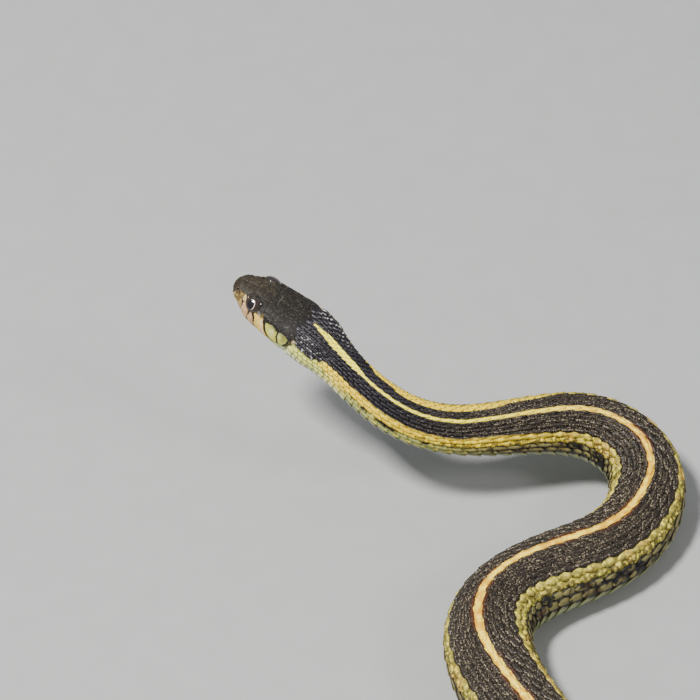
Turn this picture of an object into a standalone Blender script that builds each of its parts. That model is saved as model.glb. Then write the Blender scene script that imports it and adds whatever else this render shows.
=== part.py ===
"""Garter snake as a still, life-size model: head and neck raised, the rest on the floor in bends.

Lengths below are in millimetres and angles in degrees, turned into metres and radians in the code.
The body is worked out from one line, its spine, which runs from the snout to the tip of the tail.
"""
import math

import bmesh
import bpy
import numpy as np

MM = 0.001

# The spine's route: points on the plan and their height, from the snout to the tip of the tail.
# Behind the touchdown the height is only a lower bound, and the belly rests on the floor.
ROUTE = (
    (-27.3, -25.8, 49.4), (-20.2, -30.0, 46.2), (-11.4, -34.8, 42.1), (-4.4, -39.6, 37.4),
    (9.9, -48.6, 28.2), (26.4, -49.1, 21.7), (45.4, -44.3, 18.5), (60.5, -42.8, 15.1),
    (69.8, -49.0, 11.6), (71.4, -59.5, 8.6), (62.5, -74.0, 7.2), (46.5, -83.5, 7.0),
    (34.8, -94.0, 7.0), (32.2, -106.0, 7.0), (37.5, -123.0, 7.0), (50.0, -145.0, 7.0),
    (60.0, -173.0, 7.0), (55.0, -205.0, 7.0), (30.0, -229.0, 7.0), (-6.0, -235.0, 7.0),
    (-40.0, -221.0, 7.0), (-69.0, -198.0, 7.0), (-103.0, -186.0, 6.5), (-137.0, -194.0, 6.0),
    (-159.0, -219.0, 5.2), (-160.0, -252.0, 4.0), (-140.0, -280.0, 3.0), (-107.0, -292.0, 2.0),
    (-73.0, -287.0, 1.0), (-44.0, -274.0, 0.3), (-17.0, -268.0, 0.0), (3.0, -271.0, 0.0))
PLAN_CENTRE = (-44.151, -159.869)
# Power of the chord length that spaces the spline's knots, between even (0) and by length (1).
KNOT_POWER = 0.75
SPINE_STEPS = 4000
# How far the resting belly is pressed flat, and how softly the raised part comes down to it.
FLOOR_PRESS = 0.3
TOUCHDOWN_SOFTNESS = 0.6

# Distance from the snout; half width; back above the spine; belly below it; squareness of each.
GIRTH = np.array((
    (0.0, 2.8, 2.1, 2.7, 2.3, 2.2), (2.2, 3.4, 2.6, 3.5, 2.5, 2.2), (5.0, 5.0, 3.4, 4.3, 2.8, 2.2),
    (7.5, 6.2, 4.1, 5.0, 2.8, 2.2), (11.0, 6.5, 4.2, 5.7, 2.7, 2.2), (15.0, 7.0, 4.2, 5.8, 2.5, 2.3),
    (20.0, 7.3, 4.8, 5.5, 2.3, 2.3), (25.0, 7.0, 5.1, 5.0, 2.1, 2.3), (29.0, 5.9, 4.8, 4.6, 2.0, 2.3),
    (35.0, 5.2, 4.7, 4.5, 2.0, 2.3), (48.0, 5.5, 5.2, 4.5, 2.0, 2.4), (66.0, 6.1, 5.7, 4.7, 2.0, 2.4),
    (86.0, 7.3, 6.7, 5.2, 2.0, 2.5), (105.0, 8.7, 7.6, 6.5, 2.0, 2.5), (130.0, 9.3, 8.1, 7.7, 2.0, 2.5),
    (160.0, 10.1, 8.8, 8.4, 2.0, 2.5), (200.0, 10.4, 9.0, 8.7, 2.0, 2.5), (320.0, 10.4, 9.0, 8.7, 2.0, 2.5),
    (420.0, 9.9, 8.7, 8.5, 2.0, 2.5), (500.0, 8.6, 7.6, 7.5, 2.0, 2.5), (565.0, 6.9, 6.3, 6.1, 2.0, 2.5),
    (600.0, 5.6, 5.2, 4.9, 2.0, 2.3), (660.0, 3.9, 3.7, 3.4, 2.0, 2.2), (720.0, 2.1, 2.0, 1.8, 2.0, 2.0),
    (767.0, 0.8, 0.8, 0.6, 2.0, 2.0)))
# Distance from the snout, and how far the back leans from upright, away from the snake's left.
ROLL = np.array((
    (0, -2), (14, -3), (22, -5), (28, -6), (34, -5), (40, -9), (47, -15), (54, -22), (59, -24), (65, -23),
    (71, -18), (78, -15), (84, -13), (105, -4), (114, 2), (120, 3), (128, -2), (140, -4), (155, -9),
    (168, -15), (180, -19), (192, -14), (210, -4), (235, 0), (800, 0)), float)
SNOUT_ROUND = 2.2
TAIL_TIP = 766.0

# Where the animal is divided, as distances from the snout.
HEAD_END = 26.0
NECK_END = 62.0
BODY_ENDS = (98.0, 119.0, 150.0, 178.0, 215.0, 265.0, 315.0, 365.0, 415.0, 465.0, 515.0, 548.0, 580.0)
TAIL_ENDS = (625.0, 675.0, 722.0, TAIL_TIP)
GAP = 0.3

# Belly scutes: two of the real ones to a step, each rising to a free rear edge.
SCUTE_PER_WIDTH = 0.75
SCUTE_SHORTEST = 4.8
SCUTE_EDGE = 0.5
SCUTE_RISE = 0.3
SCUTE_FROM = 98.0
SCUTE_FULL = 110.0

# The line of the mouth in the head's side view: distance from the snout, height from the spine.
MOUTH_LINE = (
    (-2.0, -1.5), (1.0, -1.6), (4.0, -2.1), (8.0, -2.8), (12.0, -3.1), (14.3, -2.9), (16.0, -2.0),
    (18.6, -1.1))
JAW_REAR = ((20.6, -2.9), (22.2, -4.8), (23.2, -8.5))
JAW_FLOOR = -9.0
HEAD_CLEAR = 9.0
MOUTH_STRIPS = 9

EYE_DISTANCE = 7.5
EYE_OUT = 4.1
EYE_UP = 2.4
EYE_RADIUS = 1.95
NOSTRIL_DISTANCE = 2.0
NOSTRIL_ANGLE = 62.0
NOSTRIL_RADIUS = 0.42

# Head shields: corners as distance from the snout and angle from the middle of the back.
SHIELD_RISE = 0.22
SHIELD_ROOT = 0.55
SHIELD_GROOVE = 0.13
SNOUT_TIP = (0.02, 0)
ROSTRAL = (
    (0.9, 0), (0.9, 28), (0.6, 60), (0.6, 96), (0.3, 140), (0.3, 220), (0.6, 264), (0.6, 300), (0.9, 332))
FRONTAL = ((5.7, -17), (5.7, 17), (8.2, 19), (10.2, 15), (11.6, 0), (10.2, -15), (8.2, -19))
PAIRED_SHIELDS = {
    "internasal": ((1.0, 0), (2.9, 0), (2.8, 42), (1.1, 38)),
    "prefrontal": ((3.0, 0), (5.6, 0), (5.6, 30), (4.9, 56), (2.9, 44)),
    "supraocular": ((5.8, 20), (5.7, 42), (7.6, 47), (10.2, 44), (10.4, 20), (8.2, 22)),
    "parietal": ((11.8, 0), (10.5, 18), (10.7, 44), (14.0, 52), (17.4, 26), (17.8, 0)),
    "nasal": ((1.2, 42), (2.8, 48), (2.8, 78), (1.1, 80)),
    "loreal": ((3.0, 50), (4.4, 56), (4.5, 84), (3.0, 80)),
    "temporal_front": ((10.4, 60), (13.4, 56), (13.4, 78), (10.2, 80)),
    "temporal_rear": ((13.7, 56), (17.2, 44), (17.2, 78), (13.7, 78)),
}
# Lip shields stand in a row between two angles, with their dividing lines at these distances.
UPPER_LIP_EDGES = (1.2, 3.2, 5.2, 7.3, 9.3, 12.4, 15.8, 18.2)
LOWER_LIP_EDGES = (1.0, 3.2, 5.6, 8.2, 11.0, 14.2, 17.6)
LIP_FROM_MOUTH = 0.25
UPPER_LIP_HEIGHT = 1.7
LOWER_LIP_SHARE = 0.6
CHIN_SHIELDS = {
    "chin_front": ((2.8, 176), (7.4, 176), (7.2, 154), (3.4, 156)),
    "chin_rear": ((7.9, 176), (13.0, 172), (12.6, 154), (7.7, 154)),
}

HEAD_SIDES = 32
BODY_SIDES = 18
TAIL_SIDES = 14
HEAD_STATION = 1.5

SKIN_BROWN = (0.085, 0.062, 0.045)
HEAD_BROWN = (0.075, 0.055, 0.043)
JAW_CREAM = (0.56, 0.50, 0.30)
EYE_BLACK = (0.012, 0.009, 0.007)


def clear_scene():
    for old in list(bpy.data.objects):
        bpy.data.objects.remove(old)


def natural_cubic_bend(knots, values):
    """Second derivatives at the knots of the natural cubic spline through the values."""
    count = len(knots)
    gap = np.diff(knots)
    system = np.eye(count)
    pull = np.zeros_like(values)
    for i in range(1, count - 1):
        system[i, i - 1:i + 2] = gap[i - 1], 2 * (gap[i - 1] + gap[i]), gap[i]
        pull[i] = 6 * ((values[i + 1] - values[i]) / gap[i] - (values[i] - values[i - 1]) / gap[i - 1])
    return np.linalg.solve(system, pull)


def spline_through(points):
    """Dense points of a smooth line through the given ones, and the length of the line at each."""
    points = np.array(points, float)
    chords = np.linalg.norm(np.diff(points, axis=0), axis=1)
    knots = np.concatenate([[0], np.cumsum(chords ** KNOT_POWER)])
    bend = natural_cubic_bend(knots, points)
    at = np.linspace(0, knots[-1], SPINE_STEPS)
    i = np.clip(np.searchsorted(knots, at) - 1, 0, len(knots) - 2)
    gap = (knots[i + 1] - knots[i])[:, None]
    before = (knots[i + 1] - at)[:, None] / gap
    after = 1 - before
    curve = (before ** 3 - before) * bend[i] + (after ** 3 - after) * bend[i + 1]
    line = before * points[i] + after * points[i + 1] + curve * gap ** 2 / 6
    length = np.concatenate([[0], np.cumsum(np.linalg.norm(np.diff(line, axis=0), axis=1))])
    return length, line


def between_stations(table, distance):
    """Smooth values between a table's rows, with no overshoot: a monotone cubic."""
    at, values = table[:, 0], table[:, 1:]
    gap = np.diff(at)[:, None]
    rise = np.diff(values, axis=0) / gap
    before, after = rise[:-1], rise[1:]
    same_way = before * after > 0
    near, far = 2 * gap[1:] + gap[:-1], gap[1:] + 2 * gap[:-1]
    weighted = near / np.where(same_way, before, 1) + far / np.where(same_way, after, 1)
    slope = np.zeros_like(values)
    slope[0], slope[-1] = rise[0], rise[-1]
    slope[1:-1] = np.where(same_way, (near + far) / weighted, 0)
    i = int(np.clip(np.searchsorted(at, distance, "right") - 1, 0, len(at) - 2))
    u = min(max((distance - at[i]) / gap[i, 0], 0), 1)
    return ((1 + 2 * u) * (1 - u) ** 2 * values[i] + u * (1 - u) ** 2 * gap[i] * slope[i]
            + u * u * (3 - 2 * u) * values[i + 1] + u * u * (u - 1) * gap[i] * slope[i + 1])


def girth(distance):
    """Half width, back, belly and the squareness of back and belly; the snout ends in a round."""
    sizes = between_stations(GIRTH, distance)
    before_round = max(1 - distance / SNOUT_ROUND, 0)
    sizes[:3] *= math.sqrt(1 - min(before_round, 1) ** 2)
    return sizes


SPINE_LENGTH, SPINE_LINE = spline_through(ROUTE)


def spine_point(distance):
    """A point of the spine: on the route while it is raised, then as high as the belly is deep."""
    x, y, route_z = (np.interp(distance, SPINE_LENGTH, SPINE_LINE[:, k]) for k in range(3))
    resting_z = girth(distance)[2] - FLOOR_PRESS
    higher = math.hypot(route_z - resting_z, TOUCHDOWN_SOFTNESS)
    z = (route_z + resting_z + higher) / 2
    return np.array((x - PLAN_CENTRE[0], y - PLAN_CENTRE[1], z))


def spine_frame(distance):
    """The spine's point, its direction towards the tail, the back's direction and the left side's."""
    tailward = spine_point(distance + 0.5) - spine_point(max(distance - 0.5, 0))
    tailward /= np.linalg.norm(tailward)
    up = np.array((0.0, 0.0, 1.0)) - tailward[2] * tailward
    up /= np.linalg.norm(up)
    left = np.cross(tailward, up)
    lean = math.radians(between_stations(ROLL, distance)[0])
    back = math.cos(lean) * up - math.sin(lean) * left
    return spine_point(distance), tailward, back, math.cos(lean) * left + math.sin(lean) * up


def plain_skin(distance, angle):
    """A point of the skin at an angle from the middle of the back, positive to the snake's left."""
    centre, _, back, left = spine_frame(distance)
    width, top, belly, top_square, belly_square = girth(distance)
    across, along = math.sin(math.radians(angle)), math.cos(math.radians(angle))
    square = top_square if along > 0 else belly_square
    depth = top if along > 0 else belly
    out = width * math.copysign(abs(across) ** (2 / square), across)
    rise = depth * math.copysign(abs(along) ** (2 / square), along)
    return centre + out * left + rise * back


def skin(distance, angle, lift=0.0):
    """A point lifted off the skin along its normal, and never under the floor."""
    point = plain_skin(distance, angle)
    if lift:
        along = plain_skin(distance + 0.2, angle) - plain_skin(max(distance - 0.2, 0), angle)
        around = plain_skin(distance, angle + 2) - plain_skin(distance, angle - 2)
        normal = np.cross(around, along)
        point = point + lift * normal / np.linalg.norm(normal)
    point[2] = max(point[2], 0)
    return point


def new_object(name, bm, collection):
    bmesh.ops.recalc_face_normals(bm, faces=bm.faces)
    mesh = bpy.data.meshes.new(name)
    bm.to_mesh(mesh)
    bm.free()
    made = bpy.data.objects.new(name, mesh)
    collection.objects.link(made)
    return made


def loft(name, rings, collection):
    """A closed solid through rings of equal numbers of points, with flat ends."""
    bm = bmesh.new()
    rows = [[bm.verts.new(point * MM) for point in ring] for ring in rings]
    for row, following in zip(rows, rows[1:]):
        for k in range(len(row)):
            after = (k + 1) % len(row)
            bm.faces.new((row[k], row[after], following[after], following[k]))
    bm.faces.new(rows[0][::-1])
    bm.faces.new(rows[-1])
    return new_object(name, bm, collection)


def scute_edges():
    """Distances of the belly scutes' front edges from the neck to the tail's tip."""
    edges = [HEAD_END]
    while edges[-1] < TAIL_TIP:
        edges.append(edges[-1] + max(SCUTE_PER_WIDTH * girth(edges[-1])[0], SCUTE_SHORTEST))
    return edges


def nearest(values, wanted):
    return min(values, key=lambda value: abs(value - wanted))


def scute_share(angle):
    """How much of a scute's rise is felt at an angle: all of it under the belly, none above."""
    return min(max((abs(angle) - SCUTE_FROM) / (SCUTE_FULL - SCUTE_FROM), 0), 1)


def belly_ring(distance, rise, sides):
    angles = [360 * (k + 0.5) / sides - 180 for k in range(sides)]
    return [skin(distance, angle, rise * scute_share(angle)) for angle in angles]


def body_length(name, start, end, sides, edges, collection):
    """One length of the body, with a step in its belly for each pair of scutes."""
    start, end = nearest(edges, start), nearest(edges, end)
    within = [edge for edge in edges if start <= edge <= end]
    rings = []
    for front, rear in zip(within, within[1:]):
        first = front + GAP / 2 if front == start else front
        last = rear - GAP / 2 if rear == end else rear - SCUTE_EDGE
        rings.append(belly_ring(first, 0, sides))
        rings.append(belly_ring(last, SCUTE_RISE, sides))
    return loft(name, rings, collection)


def head_blank(name, collection):
    """The whole head with its lower jaw, before the mouth parts them."""
    round_steps = [SNOUT_ROUND * (1 - math.cos(math.pi / 2 * k / 5)) for k in (0.6, 2, 3, 4)]
    straight = np.linspace(SNOUT_ROUND, HEAD_END - GAP / 2, round((HEAD_END - SNOUT_ROUND) / HEAD_STATION))
    rings = []
    for distance in round_steps + list(straight):
        rings.append([skin(distance, 360 * k / HEAD_SIDES - 180) for k in range(HEAD_SIDES)])
    return loft(name, rings, collection)


def mouth_block(name, shift, collection):
    """All that lies under the line of the mouth, as a block, with that line moved outwards."""
    path = np.array(MOUTH_LINE + JAW_REAR)
    along = np.gradient(path, axis=0)
    normal = np.stack([-along[:, 1], along[:, 0]], axis=1)
    path = path + shift * normal / np.linalg.norm(normal, axis=1)[:, None]
    outline = list(path) + [(path[-1][0], JAW_FLOOR), (path[0][0], JAW_FLOOR)]
    sides = []
    for out in np.linspace(-HEAD_CLEAR, HEAD_CLEAR, MOUTH_STRIPS + 1):
        side = []
        for distance, height in outline:
            centre, tailward, back, left = spine_frame(max(distance, 0))
            side.append(centre + min(distance, 0) * tailward + height * back + out * left)
        sides.append(side)
    block = loft(name, sides, collection)
    hide_cutter(block)
    return block


def hide_cutter(cutter):
    cutter.hide_render = True
    cutter.display_type = "WIRE"


def angle_at_height(distance, height):
    """The angle from the back at which the skin of the head lies so high from the spine."""
    _, top, belly, top_square, belly_square = girth(distance)
    depth, square = (top, top_square) if height > 0 else (belly, belly_square)
    share = min(abs(height) / depth, 1) ** (square / 2)
    return math.degrees(math.acos(math.copysign(share, height)))


def mouth_height(distance):
    return float(np.interp(distance, [p[0] for p in MOUTH_LINE], [p[1] for p in MOUTH_LINE]))


def upper_lip_reach(distance):
    return UPPER_LIP_HEIGHT


def lower_lip_reach(distance):
    return -LOWER_LIP_SHARE * (girth(distance)[2] + mouth_height(distance))


def lip_corners(edges, reach):
    """Four corners for each lip shield of a row, as distances and angles."""
    rows = []
    for front, rear in zip(edges, edges[1:]):
        corners = []
        for distance, share in ((front, 1), (rear, 1), (rear, 0), (front, 0)):
            from_mouth = share * reach(distance) + math.copysign(LIP_FROM_MOUTH, reach(distance))
            corners.append((distance, angle_at_height(distance, mouth_height(distance) + from_mouth)))
        rows.append(corners)
    return rows


def with_midpoints(corners):
    """The corners of an outline with a point more in the middle of each side."""
    outline = []
    for here, following in zip(corners, list(corners[1:]) + [corners[0]]):
        outline.append(here)
        outline.append(((here[0] + following[0]) / 2, (here[1] + following[1]) / 2))
    return outline


def shield(name, outline, collection, middle=None):
    """A plate with the given outline, rooted in the head, with a rim that leaves a groove."""
    middle = middle or tuple(np.mean(outline, axis=0))
    centre = skin(*middle)
    bm = bmesh.new()
    rims = []
    for lift in (SHIELD_RISE, -SHIELD_ROOT):
        rim = []
        for distance, angle in outline:
            inward = centre - skin(distance, angle)
            inward *= SHIELD_GROOVE / np.linalg.norm(inward)
            rim.append(bm.verts.new((skin(distance, angle, lift) + inward) * MM))
        hub = bm.verts.new(skin(*middle, lift) * MM)
        for k in range(len(rim)):
            bm.faces.new((rim[k], rim[(k + 1) % len(rim)], hub))
        rims.append(rim)
    upper, lower = rims
    for k in range(len(upper)):
        after = (k + 1) % len(upper)
        bm.faces.new((upper[k], lower[k], lower[after], upper[after]))
    return new_object(name, bm, collection)


def mirrored(corners):
    return [(distance, -angle) for distance, angle in corners]


def both_sides(name, corners, collection):
    shield(name + "_left", with_midpoints(corners), collection)
    shield(name + "_right", with_midpoints(mirrored(corners)), collection)


def ball(name, centre, radius, segments, rings, collection):
    bm = bmesh.new()
    bmesh.ops.create_uvsphere(bm, u_segments=segments, v_segments=rings, radius=radius * MM)
    made = new_object(name, bm, collection)
    made.location = centre * MM
    return made


def eye_centre(side):
    centre, _, back, left = spine_frame(EYE_DISTANCE)
    return centre + side * EYE_OUT * left + EYE_UP * back


def apply_modifiers(target):
    evaluated = target.evaluated_get(bpy.context.evaluated_depsgraph_get())
    mesh = bpy.data.meshes.new_from_object(evaluated)
    target.modifiers.clear()
    target.data = mesh


def boolean(target, operation, pieces):
    """One Boolean of the target with a collection of closed pieces, which are then removed."""
    modifier = target.modifiers.new(operation.lower(), "BOOLEAN")
    modifier.operation = operation
    modifier.operand_type = "COLLECTION"
    modifier.collection = pieces
    modifier.solver = "EXACT"
    bpy.context.view_layer.update()
    apply_modifiers(target)
    for piece in list(pieces.objects):
        bpy.data.objects.remove(piece)
    keep_largest_surface(target)


def keep_largest_surface(target):
    """Keep the closed surface that encloses the most, and drop scraps and sealed hollows."""
    bm = bmesh.new()
    bm.from_mesh(target.data)
    left_over = set(bm.verts)
    groups = []
    while left_over:
        group = {left_over.pop()}
        front = list(group)
        while front:
            for edge in front.pop().link_edges:
                for vert in edge.verts:
                    if vert in left_over:
                        left_over.remove(vert)
                        group.add(vert)
                        front.append(vert)
        groups.append(group)
    largest = max(groups, key=span)
    bmesh.ops.delete(bm, geom=[vert for vert in bm.verts if vert not in largest], context="VERTS")
    bm.to_mesh(target.data)
    bm.free()


def span(verts):
    places = np.array([vert.co for vert in verts])
    return float(np.prod(np.ptp(places, axis=0)))


def build_head(parts, cutters):
    head = head_blank("head", parts)
    shield("rostral", ROSTRAL, cutters, SNOUT_TIP)
    shield("frontal", with_midpoints(FRONTAL), cutters)
    for name, corners in PAIRED_SHIELDS.items():
        both_sides(name, corners, cutters)
    for corners in lip_corners(UPPER_LIP_EDGES, upper_lip_reach):
        both_sides("upper_lip", corners, cutters)
    boolean(head, "UNION", cutters)
    mouth_block("under_mouth", GAP / 2, cutters)
    for side in (1, -1):
        hide_cutter(ball("socket", eye_centre(side), EYE_RADIUS + GAP, 16, 10, cutters))
        nostril = skin(NOSTRIL_DISTANCE, side * NOSTRIL_ANGLE, SHIELD_RISE)
        hide_cutter(ball("nostril", nostril, NOSTRIL_RADIUS, 8, 6, cutters))
    boolean(head, "DIFFERENCE", cutters)
    return head


def build_jaw(parts, cutters):
    jaw = head_blank("lower_jaw", parts)
    for name, corners in CHIN_SHIELDS.items():
        both_sides(name, corners, cutters)
    for corners in lip_corners(LOWER_LIP_EDGES, lower_lip_reach):
        both_sides("lower_lip", corners, cutters)
    boolean(jaw, "UNION", cutters)
    mouth_block("under_mouth", -GAP / 2, cutters)
    boolean(jaw, "INTERSECT", cutters)
    return jaw


def build_body(parts):
    """The neck, the body's lengths and the tail's, in order from the head."""
    edges = scute_edges()
    made = [body_length("neck", HEAD_END, NECK_END, BODY_SIDES, edges, parts)]
    start = NECK_END
    for number, end in enumerate(BODY_ENDS, 1):
        made.append(body_length(f"body_{number:02d}", start, end, BODY_SIDES, edges, parts))
        start = end
    for number, end in enumerate(TAIL_ENDS, 1):
        made.append(body_length(f"tail_{number}", start, end, TAIL_SIDES, edges, parts))
        start = end
    return made


def surface_material(name, colour, roughness):
    material = bpy.data.materials.new(name)
    material.use_nodes = True
    principled = material.node_tree.nodes["Principled BSDF"]
    principled.inputs["Base Color"].default_value = (*colour, 1.0)
    principled.inputs["Roughness"].default_value = roughness
    principled.inputs["Metallic"].default_value = 0.0
    return material


def new_collection(name):
    made = bpy.data.collections.new(name)
    bpy.context.scene.collection.children.link(made)
    return made


def finish(made, colour, roughness):
    made.data.materials.clear()
    made.data.materials.append(surface_material(made.name + "_skin", colour, roughness))
    made.data.shade_smooth()
    made.data.set_sharp_from_angle(angle=math.radians(35))


clear_scene()
snake = new_collection("garter_snake")
cutting = new_collection("cutting")
finish(build_head(snake, cutting), HEAD_BROWN, 0.5)
finish(build_jaw(snake, cutting), JAW_CREAM, 0.5)
for length in build_body(snake):
    finish(length, SKIN_BROWN, 0.55)
for eye_name, eye_side in (("eye_left", 1), ("eye_right", -1)):
    finish(ball(eye_name, eye_centre(eye_side), EYE_RADIUS, 16, 10, snake), EYE_BLACK, 0.08)
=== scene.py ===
"""Garter snake as a still, life-size museum model: its skin, head shields, eyes and scales.

Lengths are in millimetres and angles in degrees, and turned into metres and radians where used.
A place on the snake is a distance from its snout and an angle from the middle of its back,
positive to the snake's left.
"""

import bpy
import numpy as np
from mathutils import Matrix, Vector


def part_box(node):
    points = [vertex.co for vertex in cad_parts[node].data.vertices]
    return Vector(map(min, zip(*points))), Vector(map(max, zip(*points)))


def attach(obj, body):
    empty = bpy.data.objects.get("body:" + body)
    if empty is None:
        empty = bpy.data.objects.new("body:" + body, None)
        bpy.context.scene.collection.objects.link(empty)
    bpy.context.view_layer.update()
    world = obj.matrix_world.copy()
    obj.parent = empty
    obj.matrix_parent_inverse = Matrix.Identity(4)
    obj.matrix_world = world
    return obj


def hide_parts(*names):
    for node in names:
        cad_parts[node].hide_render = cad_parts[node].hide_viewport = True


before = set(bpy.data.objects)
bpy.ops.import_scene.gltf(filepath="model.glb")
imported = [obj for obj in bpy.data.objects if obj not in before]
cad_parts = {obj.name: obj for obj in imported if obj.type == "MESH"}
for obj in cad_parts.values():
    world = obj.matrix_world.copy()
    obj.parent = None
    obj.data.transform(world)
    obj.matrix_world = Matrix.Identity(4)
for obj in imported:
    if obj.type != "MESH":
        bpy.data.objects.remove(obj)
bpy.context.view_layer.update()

# The view and the stand: a camera that looks down on the snake at half a right angle, through a
# long lens, over a plain pale floor. Light comes from a broad soft lamp at the upper left, with a
# weaker one at the right and a pale room round everything.
MM = 0.001
CAMERA_TARGET = Vector((0.044151, 0.159869, 0.0))
CAMERA_DISTANCE = 1.0
CAMERA_ELEVATION = 45.0
CAMERA_LENS = 203.14
FLOOR_SIZE = 6.0
ROOM_COLOUR = "#e4e8ee"
ROOM_STRENGTH = 0.55
LAMPS = {
    "key_lamp": ((-0.45, -0.35, 1.15), 0.2, 36.0),
    "fill_lamp": ((1.0, -0.5, 0.8), 0.3, 5.5),
}


def paint(code):
    """A colour code as linear red, green, blue and full opacity: the usual display curve undone."""
    shares = np.array([int(code[k:k + 2], 16) for k in (1, 3, 5)]) / 255
    linear = np.where(shares < 0.04045, shares / 12.92, ((shares + 0.055) / 1.055) ** 2.4)
    return (*linear.tolist(), 1.0)


class Field:
    """A number or colour that changes over a surface: a node's output, with arithmetic on it."""

    def __init__(self, socket):
        """Keeps the node's output and the node tree it is in."""
        self.socket = socket
        self.tree = socket.id_data

    def reckoned(self, operation, *others):
        """One step of arithmetic on this field and on other fields or numbers."""
        return new_field(self.tree, "ShaderNodeMath", dict(enumerate((self, *others))), operation=operation)

    def __add__(self, other):
        """The sum of the two."""
        return self.reckoned("ADD", other)

    def __sub__(self, other):
        """The first less the second."""
        return self.reckoned("SUBTRACT", other)

    def __mul__(self, other):
        """The product of the two."""
        return self.reckoned("MULTIPLY", other)

    def __truediv__(self, other):
        """The first divided by the second."""
        return self.reckoned("DIVIDE", other)

    def __or__(self, other):
        """The greater of the two, which joins masks."""
        return self.reckoned("MAXIMUM", other)

    def __abs__(self):
        """The size without the sign."""
        return self.reckoned("ABSOLUTE")

    def eased(self, start, end):
        """A soft step on this field: 0 at start, 1 at end, and smooth between."""
        values = {"Value": self, "From Min": start, "From Max": end}
        return new_field(self.tree, "ShaderNodeMapRange", values, "Result", interpolation_type="SMOOTHSTEP")

    def between(self, under, over):
        """A colour that goes from one to the other as this field goes from 0 to 1."""
        return new_field(self.tree, "ShaderNodeMix", {0: self, 6: under, 7: over}, 2, data_type="RGBA")

    def towards(self, over, share):
        """This colour, moved by a share towards another."""
        return new_field(self.tree, "ShaderNodeMix", {0: share, 6: self, 7: over}, 2, data_type="RGBA")


def feed(socket, value):
    """Put a number, a colour code or a field into a socket."""
    if isinstance(value, Field):
        value.tree.links.new(value.socket, socket)
    else:
        socket.default_value = paint(value) if isinstance(value, str) else value


def new_field(tree, kind, values, output=0, **settings):
    """A new node as a field: what its inputs are fed, the output that is read, and its settings."""
    node = tree.nodes.new(kind)
    for name, setting in settings.items():
        setattr(node, name, setting)
    for socket, value in values.items():
        feed(node.inputs[socket], value)
    return Field(node.outputs[output])


def speckle(tree, size, detail=2.0, roughness=0.5):
    """Noise in the object's own space, with features of so many millimetres, as 0 to 1."""
    place = new_field(tree, "ShaderNodeTexCoord", {}, "Object")
    values = {"Vector": place, "Scale": 1 / (size * MM), "Detail": detail, "Roughness": roughness}
    return new_field(tree, "ShaderNodeTexNoise", values, "Fac")


def new_material(name, roughness):
    """A material with its Principled shader: the node tree and the shader's inputs."""
    material = bpy.data.materials.new(name)
    material.use_nodes = True
    shader = material.node_tree.nodes["Principled BSDF"]
    shader.inputs["Roughness"].default_value = roughness
    return material, material.node_tree, shader.inputs


def new_piece(name, points, faces, material):
    """A smooth mesh from points in millimetres and faces as lists of point numbers."""
    mesh = bpy.data.meshes.new(name)
    mesh.from_pydata((points * MM).tolist(), [], faces)
    mesh.shade_smooth()
    mesh.materials.append(material)
    piece = bpy.data.objects.new(name, mesh)
    bpy.context.scene.collection.objects.link(piece)
    return piece


floor_paint, tree, shader = new_material("pale_floor", 0.75)
feed(shader["Base Color"], speckle(tree, 9.0, detail=4.0).between("#939391", "#9b9b99"))
edge = FLOOR_SIZE / 2 / MM
corners = np.array(((-edge, -edge, 0), (edge, -edge, 0), (edge, edge, 0), (-edge, edge, 0)))
floor = new_piece("floor", corners, [(0, 1, 2, 3)], floor_paint)

camera = bpy.data.objects.new("camera", bpy.data.cameras.new("camera"))
bpy.context.scene.collection.objects.link(camera)
tilt = np.radians(CAMERA_ELEVATION)
away = Vector((0, -np.cos(tilt), np.sin(tilt)))
camera.location = CAMERA_TARGET + CAMERA_DISTANCE * away
camera.rotation_euler = away.to_track_quat("Z", "Y").to_euler()
camera.data.lens = CAMERA_LENS
camera.data.clip_start = 0.01
bpy.context.scene.camera = camera

room = bpy.data.worlds.new("pale_room")
room.use_nodes = True
room.node_tree.nodes["Background"].inputs["Color"].default_value = paint(ROOM_COLOUR)
room.node_tree.nodes["Background"].inputs["Strength"].default_value = ROOM_STRENGTH
bpy.context.scene.world = room
for name, (place, size, power) in LAMPS.items():
    lamp = bpy.data.lights.new(name, "AREA")
    lamp.size = size
    lamp.energy = power
    holder = bpy.data.objects.new(name, lamp)
    holder.location = CAMERA_TARGET + Vector(place)
    holder.rotation_euler = Vector(place).to_track_quat("Z", "Y").to_euler()
    bpy.context.scene.collection.objects.link(holder)

# The skin: one thin, supple hide from the snout to the tail, which shows between the scales. On
# the head it carries large smooth shields that meet in fine grooves, the slit of the mouth, the
# nostrils and the rims of the eyes. It is dark above and pale along the lips and under the chin.
ROUTE = np.array((
    (-27.3, -25.8, 49.4), (-20.2, -30, 46.2), (-11.4, -34.8, 42.1), (-4.4, -39.6, 37.4), (9.9, -48.6, 28.2),
    (26.4, -49.1, 21.7), (45.4, -44.3, 18.5), (60.5, -42.8, 15.1), (69.8, -49, 11.6), (71.4, -59.5, 8.6),
    (62.5, -74, 7.2), (46.5, -83.5, 7), (34.8, -94, 7), (32.2, -106, 7), (37.5, -123, 7), (50, -145, 7),
    (60, -173, 7), (55, -205, 7), (30, -229, 7), (-6, -235, 7), (-40, -221, 7), (-69, -198, 7),
    (-103, -186, 6.5), (-137, -194, 6), (-159, -219, 5.2), (-160, -252, 4), (-140, -280, 3),
    (-107, -292, 2), (-73, -287, 1), (-44, -274, 0.3), (-17, -268, 0), (3, -271, 0)))
PLAN_CENTRE = np.array((-44.151, -159.869))
KNOT_POWER = 0.75
FLOOR_PRESS = 0.3
TOUCHDOWN_SOFTNESS = 0.6
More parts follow.
